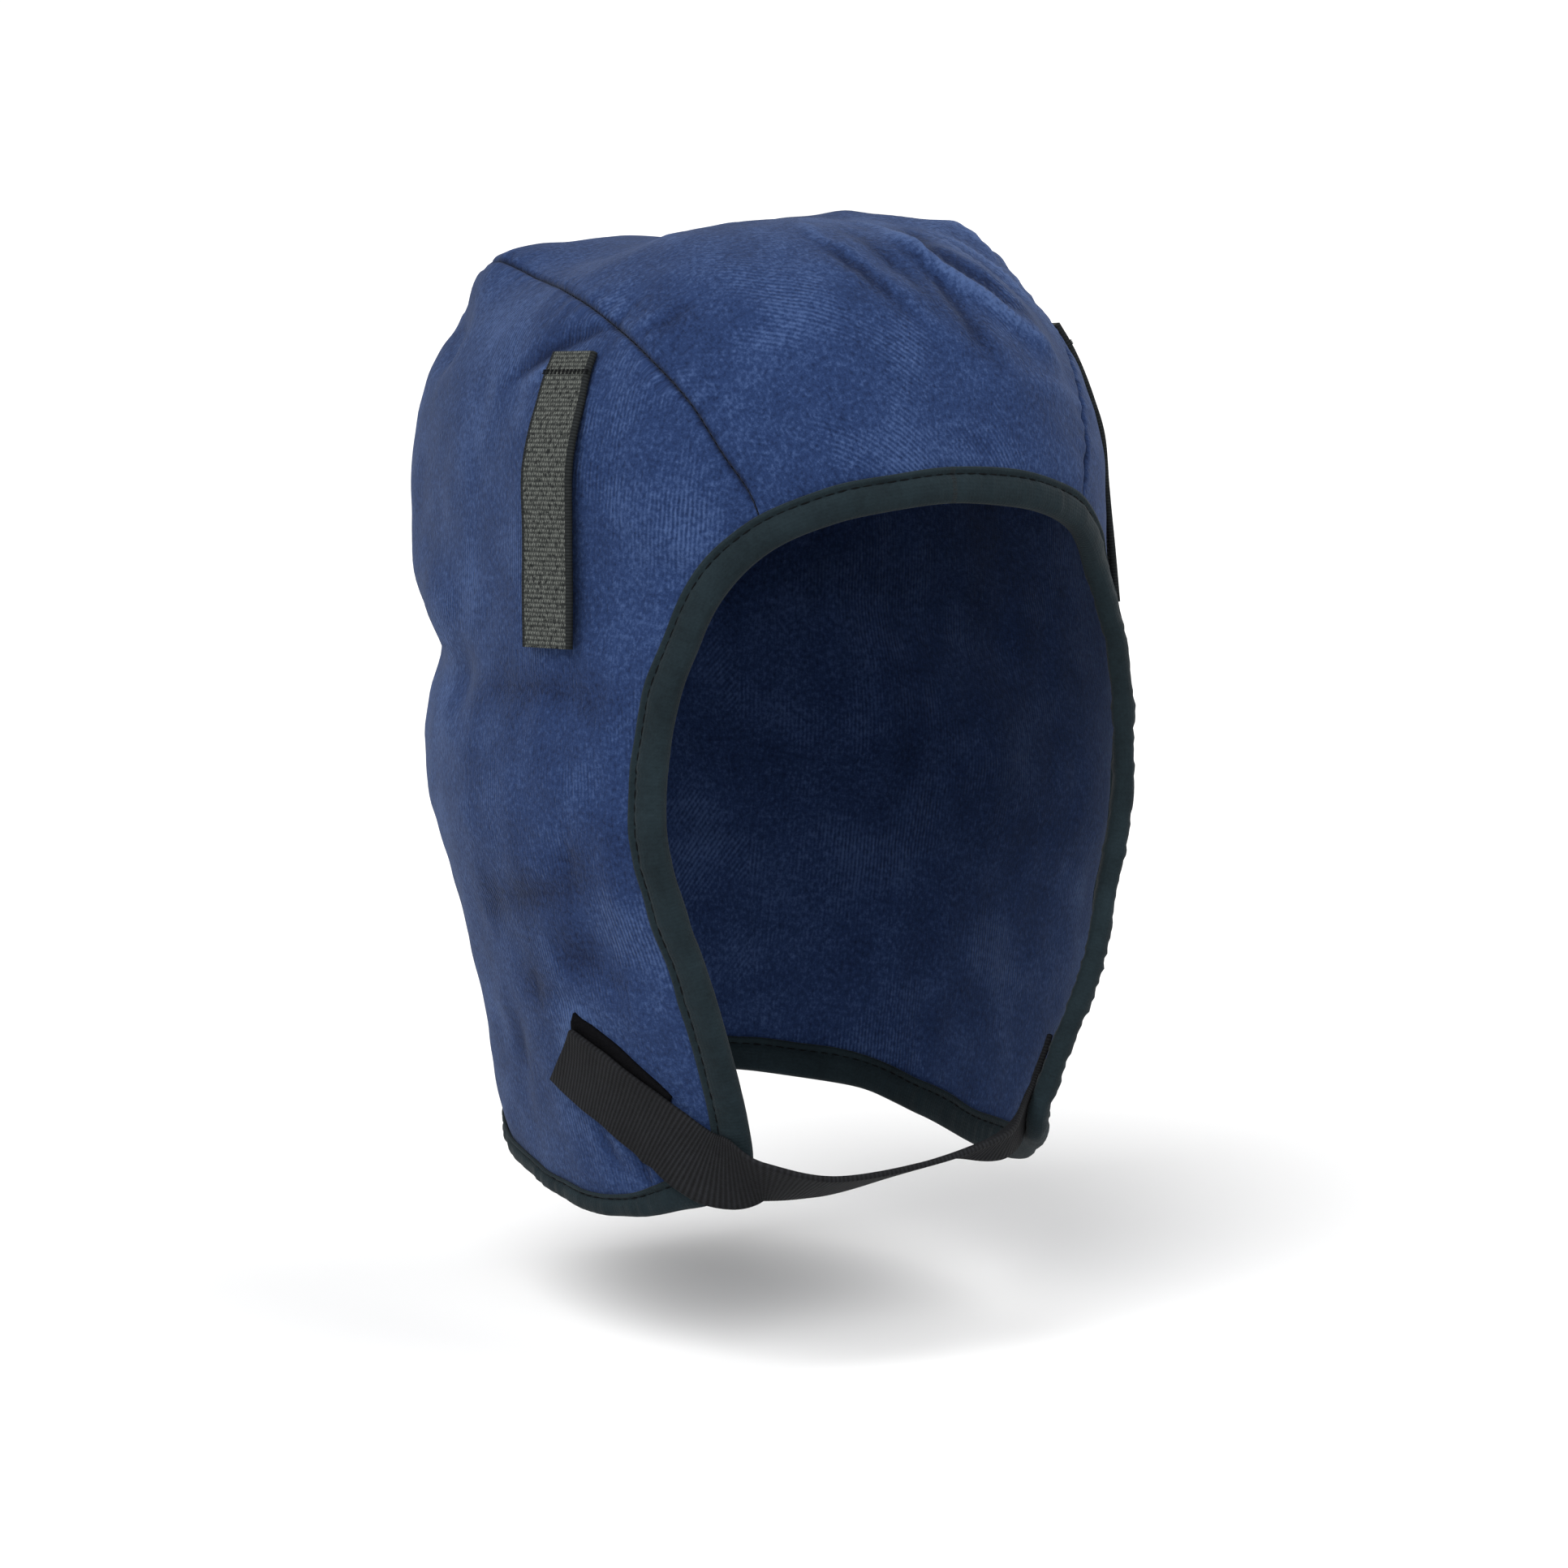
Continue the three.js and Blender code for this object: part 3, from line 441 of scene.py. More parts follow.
EDGE_STEPS = 40
edge_rows = np.vstack([EDGE, mirrored(EDGE[-2:0:-1])])
edge_loop = on_form(fine_curve(np.vstack([edge_rows, edge_rows[:1]]), EDGE_STEPS,
                               edge_rows[-1], edge_rows[1])[:-1])
away = np.linalg.norm(mirrored(edge_loop) - EDGE[FLAP_CORNER], axis=1) / HITCH_REACH
edge_loop[:, 2] += LEFT_HITCH * np.clip(1 - away ** 2, 0, 1) ** 2 * (edge_loop[:, 0] > 0)
edge_loop = on_form(edge_loop)
edge_way = unit(np.roll(edge_loop, -3, axis=0) - np.roll(edge_loop, 3, axis=0))
edge_inward = unit(np.cross(edge_way, form_normal(edge_loop)))
cloth_edge = on_form(edge_loop + edge_inward * (BINDING_TAPE + SEW_GAP))


def edge_stretch(from_row, to_row):
    """The cloth's edge between two rows of the closed edge, in either direction."""
    step = 1 if to_row > from_row else -1
    picked = np.arange(from_row * EDGE_STEPS, to_row * EDGE_STEPS + step, step)
    return cloth_edge[picked % len(cloth_edge)]


ROWS = len(edge_rows)
SEAM_STEPS = 30
seam_right = on_form(fine_curve(np.vstack([cloth_edge[SEAM_FRONT * EDGE_STEPS], SEAM,
                                           cloth_edge[SEAM_BACK * EDGE_STEPS]]), SEAM_STEPS))
seam_left = mirrored(seam_right)
corner = (REAR_CORNER + 1) * SEAM_STEPS
print("edge:", round(line_length(edge_loop)), "mm round, each seam:", round(line_length(seam_right)))

# %% [markdown]
# ## From charts to cloth
# Each panel is a chart with four sides: two of them are seams or edges that the neighbour panel
# shares, so the panels always meet. The rows and columns crowd together beside a seam, where the
# cloth rolls down into the stitches. Two faces and a rim make the chart a real wall.

# %% Panels as closed walls
CELL = 1.45
SEAM_CELLS = np.array([0.0, 0.25, 0.55, 0.95, 1.4, 1.9, 2.5, 3.2, 4.1, 5.2])
SEAM_ROLL, SEAM_DEPTH, SEAM_OPEN, SEAM_LAP = 2.2, 1.8, 0.5, 0.12
PUCKER, PUCKER_REACH, PUCKER_PITCH = 0.32, 6.0, 6.2


def graded(length, at_start, at_end):
    """Shares of a length in even cells, with finer ones beside a seam."""
    marks = SEAM_CELLS / length
    low, high = (marks[-1] if at_start else 0.0), (1 - marks[-1] if at_end else 1.0)
    middle = np.linspace(low, high, max(2, int((high - low) * length / CELL)))
    parts = ([marks[:-1]] if at_start else []) + [middle] + ([1 - marks[-2::-1]] if at_end else [])
    return np.concatenate(parts)


def seam_relief(points, seam, seed):
    """The roll of the cloth into a seam, with the small puckers that its stitches pull."""
    distance, share = distance_to_path(points.reshape(-1, 3), seam[::6])
    length = line_length(seam)
    roll = np.clip(1 - distance / SEAM_ROLL, 0, 1)
    ends = np.clip(np.minimum(share, 1 - share) * length / 9 - 0.9, 0, 1)
    drop = -SEAM_DEPTH * (1 - np.sqrt(1 - roll ** 2 * 0.998)) * ends
    waves = np.sin(share * length / PUCKER_PITCH * 2 * math.pi + 1.4 * np.sin(share * 37 + seed))
    waves = waves * (0.6 + 0.4 * np.sin(share * 61 + 2 * seed))
    pucker = PUCKER * waves * np.exp(-(distance / PUCKER_REACH) ** 2) * np.clip(distance / 1.2, 0, 1)
    return (drop + pucker * ends).reshape(points.shape[:-1])


def flat_cut(places, u, v):
    """The panel laid flat without stretching it: the cut that a tailor would draw."""
    rows = np.unique(np.linspace(0, len(v) - 1, 34).astype(int))
    columns = np.unique(np.linspace(0, len(u) - 1, 30).astype(int))
    coarse = places[np.ix_(rows, columns)]
    wide = np.linalg.norm(np.diff(coarse, axis=1), axis=2).mean(axis=0)
    tall = np.linalg.norm(np.diff(coarse, axis=0), axis=2).mean(axis=1)
    start = np.meshgrid(np.append(0, np.cumsum(wide)), np.append(0, np.cumsum(tall)))
    flat = np.stack(start, axis=-1).reshape(-1, 2)
    index = np.arange(flat.shape[0]).reshape(len(rows), len(columns))
    pairs = [(index[:, :-1], index[:, 1:]), (index[:-1], index[1:]),
             (index[:-1, :-1], index[1:, 1:]), (index[:-1, 1:], index[1:, :-1])]
    a = np.concatenate([pair[0].ravel() for pair in pairs])
    b = np.concatenate([pair[1].ravel() for pair in pairs])
    solid = coarse.reshape(-1, 3)
    rest = np.linalg.norm(solid[b] - solid[a], axis=1)
    count = np.bincount(a, minlength=len(flat)) + np.bincount(b, minlength=len(flat))
    for _ in range(1500):
        way = flat[b] - flat[a]
        long = np.linalg.norm(way, axis=1)
        push = way * ((long - rest) / long)[:, None]
        for k in range(2):
            pull = np.bincount(a, push[:, k], len(flat)) - np.bincount(b, push[:, k], len(flat))
            flat[:, k] += 0.8 * pull / count
    flat = flat.reshape(len(rows), len(columns), 2)
    down = np.stack([[np.interp(v, v[rows], flat[:, j, k]) for j in range(len(columns))]
                     for k in range(2)], axis=-1)
    return np.stack([[np.interp(u, u[columns], down[:, i, k]) for i in range(len(v))]
                     for k in range(2)], axis=-1)


def grid_faces(rows, columns, start=0):
    index = start + np.arange(rows * columns).reshape(rows, columns)
    corners = [index[:-1, :-1], index[:-1, 1:], index[1:, 1:], index[1:, :-1]]
    return np.stack(corners, axis=-1).reshape(-1, 4)


def walled(outer, inner):
    """Two grids and the rim between them, as points and four-sided faces that point outwards."""
    rows, columns = outer.shape[:2]
    half = rows * columns
    index = np.arange(half).reshape(rows, columns)
    rim = np.concatenate([index[0], index[1:, -1], index[-1, -2::-1], index[-2:0:-1, 0]])
    after = np.roll(rim, -1)
    sides = np.stack([rim, rim + half, after + half, after], axis=1)
    faces = np.vstack([grid_faces(rows, columns), grid_faces(rows, columns, half)[:, ::-1], sides])
    return np.vstack([outer.reshape(-1, 3), inner.reshape(-1, 3)]), faces


def outward(points, faces):
    """The faces, turned round if the closed body that they make is inside out."""
    a, b, c, d = (points[faces[:, k]] for k in range(4))
    volume = np.sum(a * np.cross(b, c)) + np.sum(a * np.cross(c, d))
    return faces if volume > 0 else faces[:, ::-1]


def make_piece(name, points, faces, uv, material, stands_for=(), caps=()):
    """A mesh in its place, with its own map in metres, that rides on the fixed body."""
    faces = outward(points, faces).tolist() + [list(cap) for cap in caps]
    mesh = bpy.data.meshes.new(name)
    mesh.from_pydata((points * MM).tolist(), [], faces)
    corners = np.empty(len(mesh.loops), dtype=np.int32)
    mesh.loops.foreach_get("vertex_index", corners)
    layer = mesh.uv_layers.new(name="cut")
    layer.data.foreach_set("uv", (uv[corners] * MM).astype(np.float32).ravel())
    mesh.polygons.foreach_set("use_smooth", [True] * len(mesh.polygons))
    mesh.materials.append(material)
    piece = bpy.data.objects.new(name, mesh)
    bpy.context.collection.objects.link(piece)
    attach(piece, "root")
    if stands_for:
        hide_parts(*stands_for)
    print(name, len(faces), "faces")
    return piece

# %% [markdown]
# ## Finishes
# Each finish is built from nodes, with no picture behind it. A material for cloth works best in
# the coordinates of the cut, so that its weave turns and bends with the piece as real weave
# does. Every piece made here carries a map named cut, in metres, for that.

# %% Helpers for materials


def srgb(red, green, blue):
    """A screen colour, 0 to 255, as the linear colour that a shader takes."""
    parts = [value / 255 for value in (red, green, blue)]
    return tuple(p / 12.92 if p <= 0.04045 else ((p + 0.055) / 1.055) ** 2.4 for p in parts) + (1.0,)


def add_node(tree, kind, inputs=None, **settings):
    """A node with its settings made and its inputs set or linked."""
    made = tree.nodes.new(kind)
    for name, value in settings.items():
        setattr(made, name, value)
    for key, value in (inputs or {}).items():
        if isinstance(value, bpy.types.NodeSocket):
            tree.links.new(value, made.inputs[key])
        else:
            made.inputs[key].default_value = value
    return made


def calc(tree, operation, first, second=0.0, third=0.0):
    made = add_node(tree, "ShaderNodeMath", {0: first, 1: second, 2: third}, operation=operation)
    return made.outputs[0]


def mixed(tree, share, first, second):
    made = add_node(tree, "ShaderNodeMix", {0: share, 6: first, 7: second}, data_type="RGBA")
    return made.outputs[2]


def noise(tree, vector, size, detail=2.0, rough=0.5):
    """Soft noise from 0 to 1 whose blobs are about the given size in metres."""
    made = add_node(tree, "ShaderNodeTexNoise", {"Vector": vector, "Scale": 0.6 / size, "Detail": detail,
                                                 "Roughness": rough})
    return made.outputs[0]


def new_finish(name, roughness, specular=0.25, sheen=0.0, sheen_tint=(1, 1, 1, 1)):
    """A material with its shader, its tree and the cut map's two coordinates in millimetres."""
    finish = bpy.data.materials.new(name)
    finish.use_nodes = True
    tree = finish.node_tree
    shader = tree.nodes["Principled BSDF"]
    shader.inputs["Roughness"].default_value = roughness
    shader.inputs["Specular IOR Level"].default_value = specular
    shader.inputs["Sheen Weight"].default_value = sheen
    shader.inputs["Sheen Roughness"].default_value = 0.45
    shader.inputs["Sheen Tint"].default_value = sheen_tint
    cut = add_node(tree, "ShaderNodeUVMap", uv_map="cut").outputs[0]
    parts = add_node(tree, "ShaderNodeSeparateXYZ", {0: cut})
    across = calc(tree, "MULTIPLY", parts.outputs[0], 1000.0)
    along = calc(tree, "MULTIPLY", parts.outputs[1], 1000.0)
    place = add_node(tree, "ShaderNodeTexCoord").outputs["Object"]
    return finish, tree, shader, cut, across, along, place


def add_bump(tree, shader, height, depth):
    """Relief from a height of 0 to 1 that is worth the given depth in metres."""
    made = add_node(tree, "ShaderNodeBump", {"Height": height, "Distance": depth, "Strength": 1.0})
    tree.links.new(made.outputs[0], shader.inputs["Normal"])


def stripes(tree, coordinate, pitch):
    """A soft ridge from 0 to 1 at every pitch."""
    wave = calc(tree, "SINE", calc(tree, "MULTIPLY", coordinate, 2 * math.pi / pitch))
    return calc(tree, "MULTIPLY_ADD", wave, 0.5, 0.5)


print("helpers ready")

# %% [markdown]
# ## Navy twill
# Twill shows fine slanting ribs, here just over 1 mm apart, because each thread passes over two
# others and steps one across. On brushed cloth the ribs only show in patches. The ribs, a short
# grain along them, a speckle of lint and slow patches of wear are added up into one tone between
# a deep and a faded navy. The two contrast numbers say how far that tone swings. Light and shade
# of the folds are painted into that tone too: a painted highlight on the crests of the fine folds
# and painted shade in their valleys and along the seams. Each panel carries the height of its fine
# folds and seam rolls as a point attribute, in millimetres, for that.

# %% Twill
WALE_PITCH = 1.15
WALE_TONE, GRAIN_TONE, LINT_TONE, PATCH_TONE, BROAD_TONE = 0.2, 0.28, 0.62, 0.3, 0.16
DEEP_NAVY, MID_NAVY, FADED_NAVY = srgb(13, 23, 47), srgb(28, 43, 75), srgb(53, 70, 105)
# The last of these sets how strongly the fold height paints a highlight on crests and shade in creases and
# seams.
TONE_SWING, TONE_MIDDLE, PAINTED_FOLD_SHADE = 2.3, 0.7, 0.18


def twill(name, wale_turn):
    finish, tree, shader, cut, across, along, place = new_finish(
        name, 0.92, 0.05, 0.1, srgb(185, 198, 225))
    turn = math.radians(wale_turn)
    wave = calc(tree, "MULTIPLY", noise(tree, cut, 0.02, 1.0), 0.4)
    beside = calc(tree, "ADD", calc(tree, "MULTIPLY", across, math.cos(turn)),
                  calc(tree, "MULTIPLY", along, math.sin(turn)))
    wales = stripes(tree, calc(tree, "ADD", beside, wave), WALE_PITCH)
    patchy = calc(tree, "MULTIPLY_ADD", noise(tree, place, 0.016, 3.0), 4.0, -1.85)
    shown = add_node(tree, "ShaderNodeClamp", {0: patchy, 1: 0.08, 2: 0.8}).outputs[0]
    wales = calc(tree, "MULTIPLY", wales, shown)
    grain_map = add_node(tree, "ShaderNodeMapping", {"Vector": cut, "Rotation": (0, 0, -turn),
                                                     "Scale": (2.2, 0.8, 1.0)}).outputs[0]
    grain = noise(tree, grain_map, 0.0008, 2.0, 0.6)
    lint = noise(tree, cut, 0.0009, 3.0, 0.8)
    patches = noise(tree, place, 0.009, 5.0, 0.66)
    broad = noise(tree, place, 0.045, 2.0, 0.5)
    wear = calc(tree, "MULTIPLY_ADD", patches, PATCH_TONE, calc(tree, "MULTIPLY", broad, BROAD_TONE))
    weave = calc(tree, "MULTIPLY_ADD", wales, WALE_TONE, calc(tree, "MULTIPLY", grain, GRAIN_TONE))
    tone = calc(tree, "ADD", calc(tree, "ADD", wear, weave), calc(tree, "MULTIPLY", lint, LINT_TONE))
    # Painted light and shade: the height of the fine folds and seam rolls makes crests paler and creases and
    # seams darker.
    shading_height = add_node(tree, "ShaderNodeAttribute", attribute_name="shading_height").outputs["Fac"]
    tone = calc(tree, "MULTIPLY_ADD", shading_height, PAINTED_FOLD_SHADE, tone)
    swung = calc(tree, "MULTIPLY_ADD", tone, TONE_SWING, 0.5 - TONE_SWING * TONE_MIDDLE)
    ramp = add_node(tree, "ShaderNodeValToRGB", {0: swung})
    ramp.color_ramp.elements[0].color = DEEP_NAVY
    ramp.color_ramp.elements[1].color = FADED_NAVY
    ramp.color_ramp.elements.new(0.5).color = MID_NAVY
    tree.links.new(ramp.outputs[0], shader.inputs["Base Color"])
    height = calc(tree, "ADD", calc(tree, "MULTIPLY", wales, 0.4), calc(tree, "MULTIPLY", grain, 0.5))
    add_bump(tree, shader, calc(tree, "MULTIPLY_ADD", lint, 1.0, height), 0.00036)
    return finish


crown_twill = twill("navy_twill_crown", 45)
side_twill = twill("navy_twill_side", 6)
print("twill ribs every", WALE_PITCH, "mm")

# %% [markdown]
# ## Binding tape, hook tape, webbing and thread
# The binding is a thin, matt cotton tape, nearly black with a green cast, and rubbed a little
# lighter in places. The helmet tabs show the woven back of hook tape: rows of pale specks
# between two smooth selvedges. The strap's webbing is ribbed across. The thread is black.

# %% Tape and webbing finishes
TAPE_PITCH, SPECK_ROW, SPECK_PITCH, SELVEDGE, RIB_PITCH = 0.9, 1.15, 1.0, 1.5, 1.1


def binding_finish():
    finish, tree, shader, cut, across, along, place = new_finish("dark_binding_tape", 0.9, 0.05, 0.04)
    weave = calc(tree, "MULTIPLY", stripes(tree, across, TAPE_PITCH), stripes(tree, along, TAPE_PITCH))
    rubbed = noise(tree, place, 0.006, 4.0, 0.6)
    lint = noise(tree, cut, 0.0007, 3.0, 0.7)
    tone = calc(tree, "ADD", calc(tree, "MULTIPLY", rubbed, 0.7), calc(tree, "MULTIPLY", lint, 0.5))
    colour = mixed(tree, calc(tree, "SUBTRACT", tone, 0.1), srgb(8, 12, 14), srgb(30, 41, 46))
    tree.links.new(colour, shader.inputs["Base Color"])
    add_bump(tree, shader, calc(tree, "ADD", calc(tree, "MULTIPLY", weave, 0.4), lint), 0.00016)
    return finish


def tab_finish():
    finish, tree, shader, cut, across, along, place = new_finish("hook_tape_back", 0.85, 0.08)
    row = calc(tree, "FLOOR", calc(tree, "DIVIDE", along, SPECK_ROW))
    offset = calc(tree, "MULTIPLY", calc(tree, "MODULO", row, 2.0), SPECK_PITCH / 2)
    specks = calc(tree, "MULTIPLY", stripes(tree, calc(tree, "ADD", across, offset), SPECK_PITCH),
                  stripes(tree, along, SPECK_ROW))
    lint = noise(tree, cut, 0.0008, 3.0, 0.7)
    uneven = calc(tree, "MULTIPLY_ADD", lint, 4.4, -1.5)
    specks = calc(tree, "MULTIPLY", calc(tree, "ADD", specks, 0.16), uneven)
    specks = add_node(tree, "ShaderNodeClamp", {0: specks}).outputs[0]
    from_edge = calc(tree, "SUBTRACT", TAB_WIDTH / 2, calc(tree, "ABSOLUTE", across))
    woven = calc(tree, "GREATER_THAN", from_edge, SELVEDGE)
    face = mixed(tree, calc(tree, "MULTIPLY", specks, 1.5), srgb(17, 19, 20), srgb(88, 91, 87))
    plain = calc(tree, "MULTIPLY", lint, stripes(tree, along, 0.8))
    edge = mixed(tree, plain, srgb(14, 16, 17), srgb(40, 43, 44))
    tree.links.new(mixed(tree, woven, edge, face), shader.inputs["Base Color"])
    add_bump(tree, shader, calc(tree, "ADD", calc(tree, "MULTIPLY", specks, woven), lint), 0.00025)
    return finish


def webbing_finish():
    finish, tree, shader, cut, across, along, place = new_finish("black_webbing", 0.8, 0.1)
    ribs = stripes(tree, along, RIB_PITCH)
    yarn = stripes(tree, across, 0.7)
    lint = noise(tree, cut, 0.0009, 3.0, 0.7)
    worn = noise(tree, place, 0.009, 3.0, 0.6)
    tone = calc(tree, "MULTIPLY_ADD", ribs, worn, calc(tree, "MULTIPLY", lint, 0.6))
    tree.links.new(mixed(tree, calc(tree, "SUBTRACT", tone, 0.15), srgb(7, 7, 8), srgb(29, 30, 33)),
                   shader.inputs["Base Color"])
    height = calc(tree, "MULTIPLY_ADD", yarn, 0.25, ribs)
    add_bump(tree, shader, calc(tree, "MULTIPLY_ADD", lint, 0.4, height), 0.00022)
    return finish


def patch_finish():
    finish, tree, shader, cut, across, along, place = new_finish("black_loop_tape", 0.95, 0.02)
    loops = noise(tree, cut, 0.0006, 4.0, 0.8)
    tree.links.new(mixed(tree, loops, srgb(4, 4, 5), srgb(15, 15, 17)), shader.inputs["Base Color"])
    add_bump(tree, shader, loops, 0.0006)
    return finish


def thread_finish():
    finish, tree, shader, cut, across, along, place = new_finish("black_thread", 0.8, 0.05)
    twist = noise(tree, place, 0.0004, 2.0)
    tree.links.new(mixed(tree, twist, srgb(4, 5, 6), srgb(14, 16, 18)), shader.inputs["Base Color"])
    return finish


binding_tape, hook_tape, webbing = binding_finish(), tab_finish(), webbing_finish()
loop_tape, thread = patch_finish(), thread_finish()
print("finishes:", len(bpy.data.materials))

# %% [markdown]
# ## The crown strip
# The strip's two long sides are the seams and its short ends run under the binding. Each row of
# its chart crosses the crown from one seam to the other and is then pulled on to the form.

# %% Crown panel


def cloth_wall(places, seams, seed):
    """The outer and the inner face of a panel, and how high each place stands on its folds."""
    normal = form_normal(places)
    rise = cloth_rise(places)
    drop = np.zeros(places.shape[:2])
    for k, line in enumerate(seams):
        drop = drop + seam_relief(places, line, seed + k)
    outer = places + normal * (rise + drop)[..., None]
    inner = places + normal * (rise - CLOTH_WALL)[..., None]
    return outer, inner, fine_rise(places) + drop


def tuck(grid, gap, at_left=False, at_right=False, at_top=False):
    """Draw the rows and columns on a seam into their own panel by a gap, or out of it."""
    grid = grid.copy()
    if at_left:
        grid[:, 0] += unit(grid[:, 2] - grid[:, 0]) * gap
    if at_right:
        grid[:, -1] += unit(grid[:, -3] - grid[:, -1]) * gap
    if at_top:
        grid[0] += unit(grid[2] - grid[0]) * gap
    return grid


def panel(name, places, u, v, seams, seed, finish, node, **sewn):
    outer, inner, shading_height = cloth_wall(places, seams, seed)
    cut = flat_cut(places, u, v)
    points, faces = walled(tuck(outer, SEAM_OPEN / 2, **sewn), tuck(inner, -SEAM_LAP, **sewn))
    flat = cut.reshape(-1, 2)
    piece = make_piece(name, points, faces, np.vstack([flat, flat]), finish, [node])
    # The height of the fine folds and seam rolls is stored on the outer face, for the painted light and shade
    # in the twill.
    layer = piece.data.attributes.new("shading_height", "FLOAT", "POINT")
    layer.data.foreach_set("value", np.append(shading_height, np.zeros(len(flat))).astype(np.float32))
    return piece


cross = graded(100, True, True)
down = np.linspace(0, 1, int(line_length(seam_right) / CELL))
seam_points = resample(seam_right, down)
front = resample(edge_stretch(SEAM_FRONT, -SEAM_FRONT), cross)
back = resample(edge_stretch(SEAM_BACK, ROWS - SEAM_BACK), cross)
share = cross[None, :, None]
chart = seam_points[:, None] * (1 - share) + mirrored(seam_points)[:, None] * share
for line, weight in ((front, (1 - down) ** 2), (back, down ** 2)):
    chord = line[:1] * (1 - cross)[:, None] + line[-1:] * cross[:, None]
    chart = chart + (line - chord)[None] * weight[:, None, None]
panel("crown_cloth", on_form(chart), cross, down, (seam_right, seam_left), 1, crown_twill,
      "crown_panel", at_left=True, at_right=True)

# %% [markdown]
# ## The side panels
# A side panel has a seam above and behind, the face edge in front and the hem below. Its chart
# is filled in from its four sides, as a flat sheet that is held on a frame would be.

# %% Side panels


def four_sided(top, foot, start, end, u, v):
    """A chart between four lines, each with as many points as the rows or columns it ends."""
    u, v = u[None, :, None], v[:, None, None]
    ruled = top[None] * (1 - v) + foot[None] * v + start[:, None] * (1 - u) + end[:, None] * u
    return (ruled - top[0] * (1 - u) * (1 - v) - top[-1] * u * (1 - v)
            - foot[0] * (1 - u) * v - foot[-1] * u * v)


across_side, down_side = graded(190, False, True), graded(170, True, False)
for side, seam, sign in (("right", seam_right, 1), ("left", seam_left, -1)):
    first, turn, last = (sign * row for row in (SEAM_FRONT, FLAP_CORNER, SEAM_BACK))
    places = on_form(four_sided(
        resample(seam[:corner + 1], across_side), resample(edge_stretch(turn, last), across_side),
        resample(edge_stretch(first, turn), down_side), resample(seam[corner:], down_side),
        across_side, down_side))
    panel(f"side_cloth_{side}", places, across_side, down_side, (seam,), 5 + sign, side_twill,
          f"side_panel_{side}", at_right=True, at_top=True)

# %% [markdown]
# ## The edge binding
# The binding is one long tape folded over the cloth's raw edge and stitched through near its
# inner margin. It is made as a section that is carried round the edge: two legs, a round fold,
# and a dip under the stitches. Slow waves make its width and fullness a little uneven. On the
# hem more of the tape is folded inside, so its outer leg is narrower there.

# %% Binding
STITCH_DEPTH, TAPE_PUFF, STITCH_DIP, TAPE_WAVE = 7.2, 0.5, 0.72, 0.2
LEG_POINTS, BEND_POINTS = 10, 9
EDGE_CELL = 1.3


def tape_section():
    """Rows of (depth from the fold, height over the cloth, fullness, side of the cloth)."""
    outside, fold = SEW_GAP + BINDING_TAPE, CLOTH_WALL / 2 + SEW_GAP + BINDING_TAPE
    depths = np.array([9.0, 8.8, 8.2, 7.6, 7.2, 6.8, 6.0, 4.8, 3.4, 2.2])
    puff = TAPE_PUFF * np.sin(np.clip((STITCH_DEPTH - depths) / STITCH_DEPTH, 0, 1) * math.pi)
    dip = -STITCH_DIP * np.exp(-((depths - STITCH_DEPTH) / 0.5) ** 2)
    margin = np.array([-0.55, -0.12] + [0] * (LEG_POINTS - 2))
    leg = outside + puff + dip + margin
    turn = np.radians(np.linspace(65, -65, BEND_POINTS))
    bend = np.stack([1.5 - 1.5 * np.cos(turn), -CLOTH_WALL / 2 + fold * np.sin(turn)], axis=1)
    inner_leg = np.stack([depths, -CLOTH_WALL - leg + 0.5 * puff], axis=1)[::-1]
    hidden = np.array([(8.7, -CLOTH_WALL - 0.2), (5, -CLOTH_WALL - 0.2), (1.4, -CLOTH_WALL - 0.1),
                       (0.7, -CLOTH_WALL / 2), (1.4, 0.1), (5, 0.2), (8.7, 0.2)])
    return np.vstack([np.stack([depths, leg], axis=1), bend, inner_leg, hidden])


closed = np.vstack([edge_loop, edge_loop[:1]])
edge_length = line_length(closed)
stations = int(edge_length / EDGE_CELL)
around = np.arange(stations) / stations
tape_line = on_form(resample(closed, around))
tape_way = unit(np.roll(tape_line, -2, axis=0) - np.roll(tape_line, 2, axis=0))
tape_inward = unit(np.cross(tape_way, form_normal(tape_line)))
section = tape_section()
travel = around * edge_length
rng = np.random.default_rng(11)


def slow_wave(shortest, longest, waves=14):
    """Random waves that close on themselves round the edge."""
    turns = np.round(edge_length / np.exp(rng.uniform(math.log(shortest), math.log(longest), waves)))
    phases = rng.uniform(0, 2 * math.pi, waves)
    return np.sin(around[:, None] * turns * 2 * math.pi + phases).sum(axis=1) / math.sqrt(waves)


width_wave, full_wave, pull_wave = slow_wave(18, 70), slow_wave(9, 40), slow_wave(3.5, 8)
closed_row = np.arange(len(closed)) / EDGE_STEPS
closed_reach = np.append(0, np.cumsum(np.linalg.norm(np.diff(closed, axis=0), axis=1)))
from_brow = np.interp(travel, closed_reach, np.minimum(closed_row, ROWS - closed_row))
on_hem = np.clip((from_brow - FLAP_CORNER - 1.2) / 2, 0, 1)
outer_leg = 1 - (1 - HEM_LEG / BINDING_WIDTH) * on_hem ** 2 * (3 - 2 * on_hem)


def under_tape(depth, outer):
    """Places on the form under the tape, at a depth from its fold on its full width."""
    wide = depth * (1 + 0.02 * width_wave * depth / BINDING_WIDTH) * (outer_leg if outer else 1)
    return on_form(tape_line + tape_inward * wide[:, None])


rings = np.empty((stations, len(section), 3))
for k, (depth, height) in enumerate(section):
    share = depth / BINDING_WIDTH
    outer = height > -CLOTH_WALL / 2
    seen = k < 2 * LEG_POINTS + BEND_POINTS
    loose = math.sin(math.pi * share) if seen and 0 < share < 1 else 0.0
    swell = loose * (0.13 * full_wave + TAPE_WAVE * pull_wave) * (1 if outer else -1)
    rings[:, k] = on_hood(under_tape(depth, outer), height + swell)

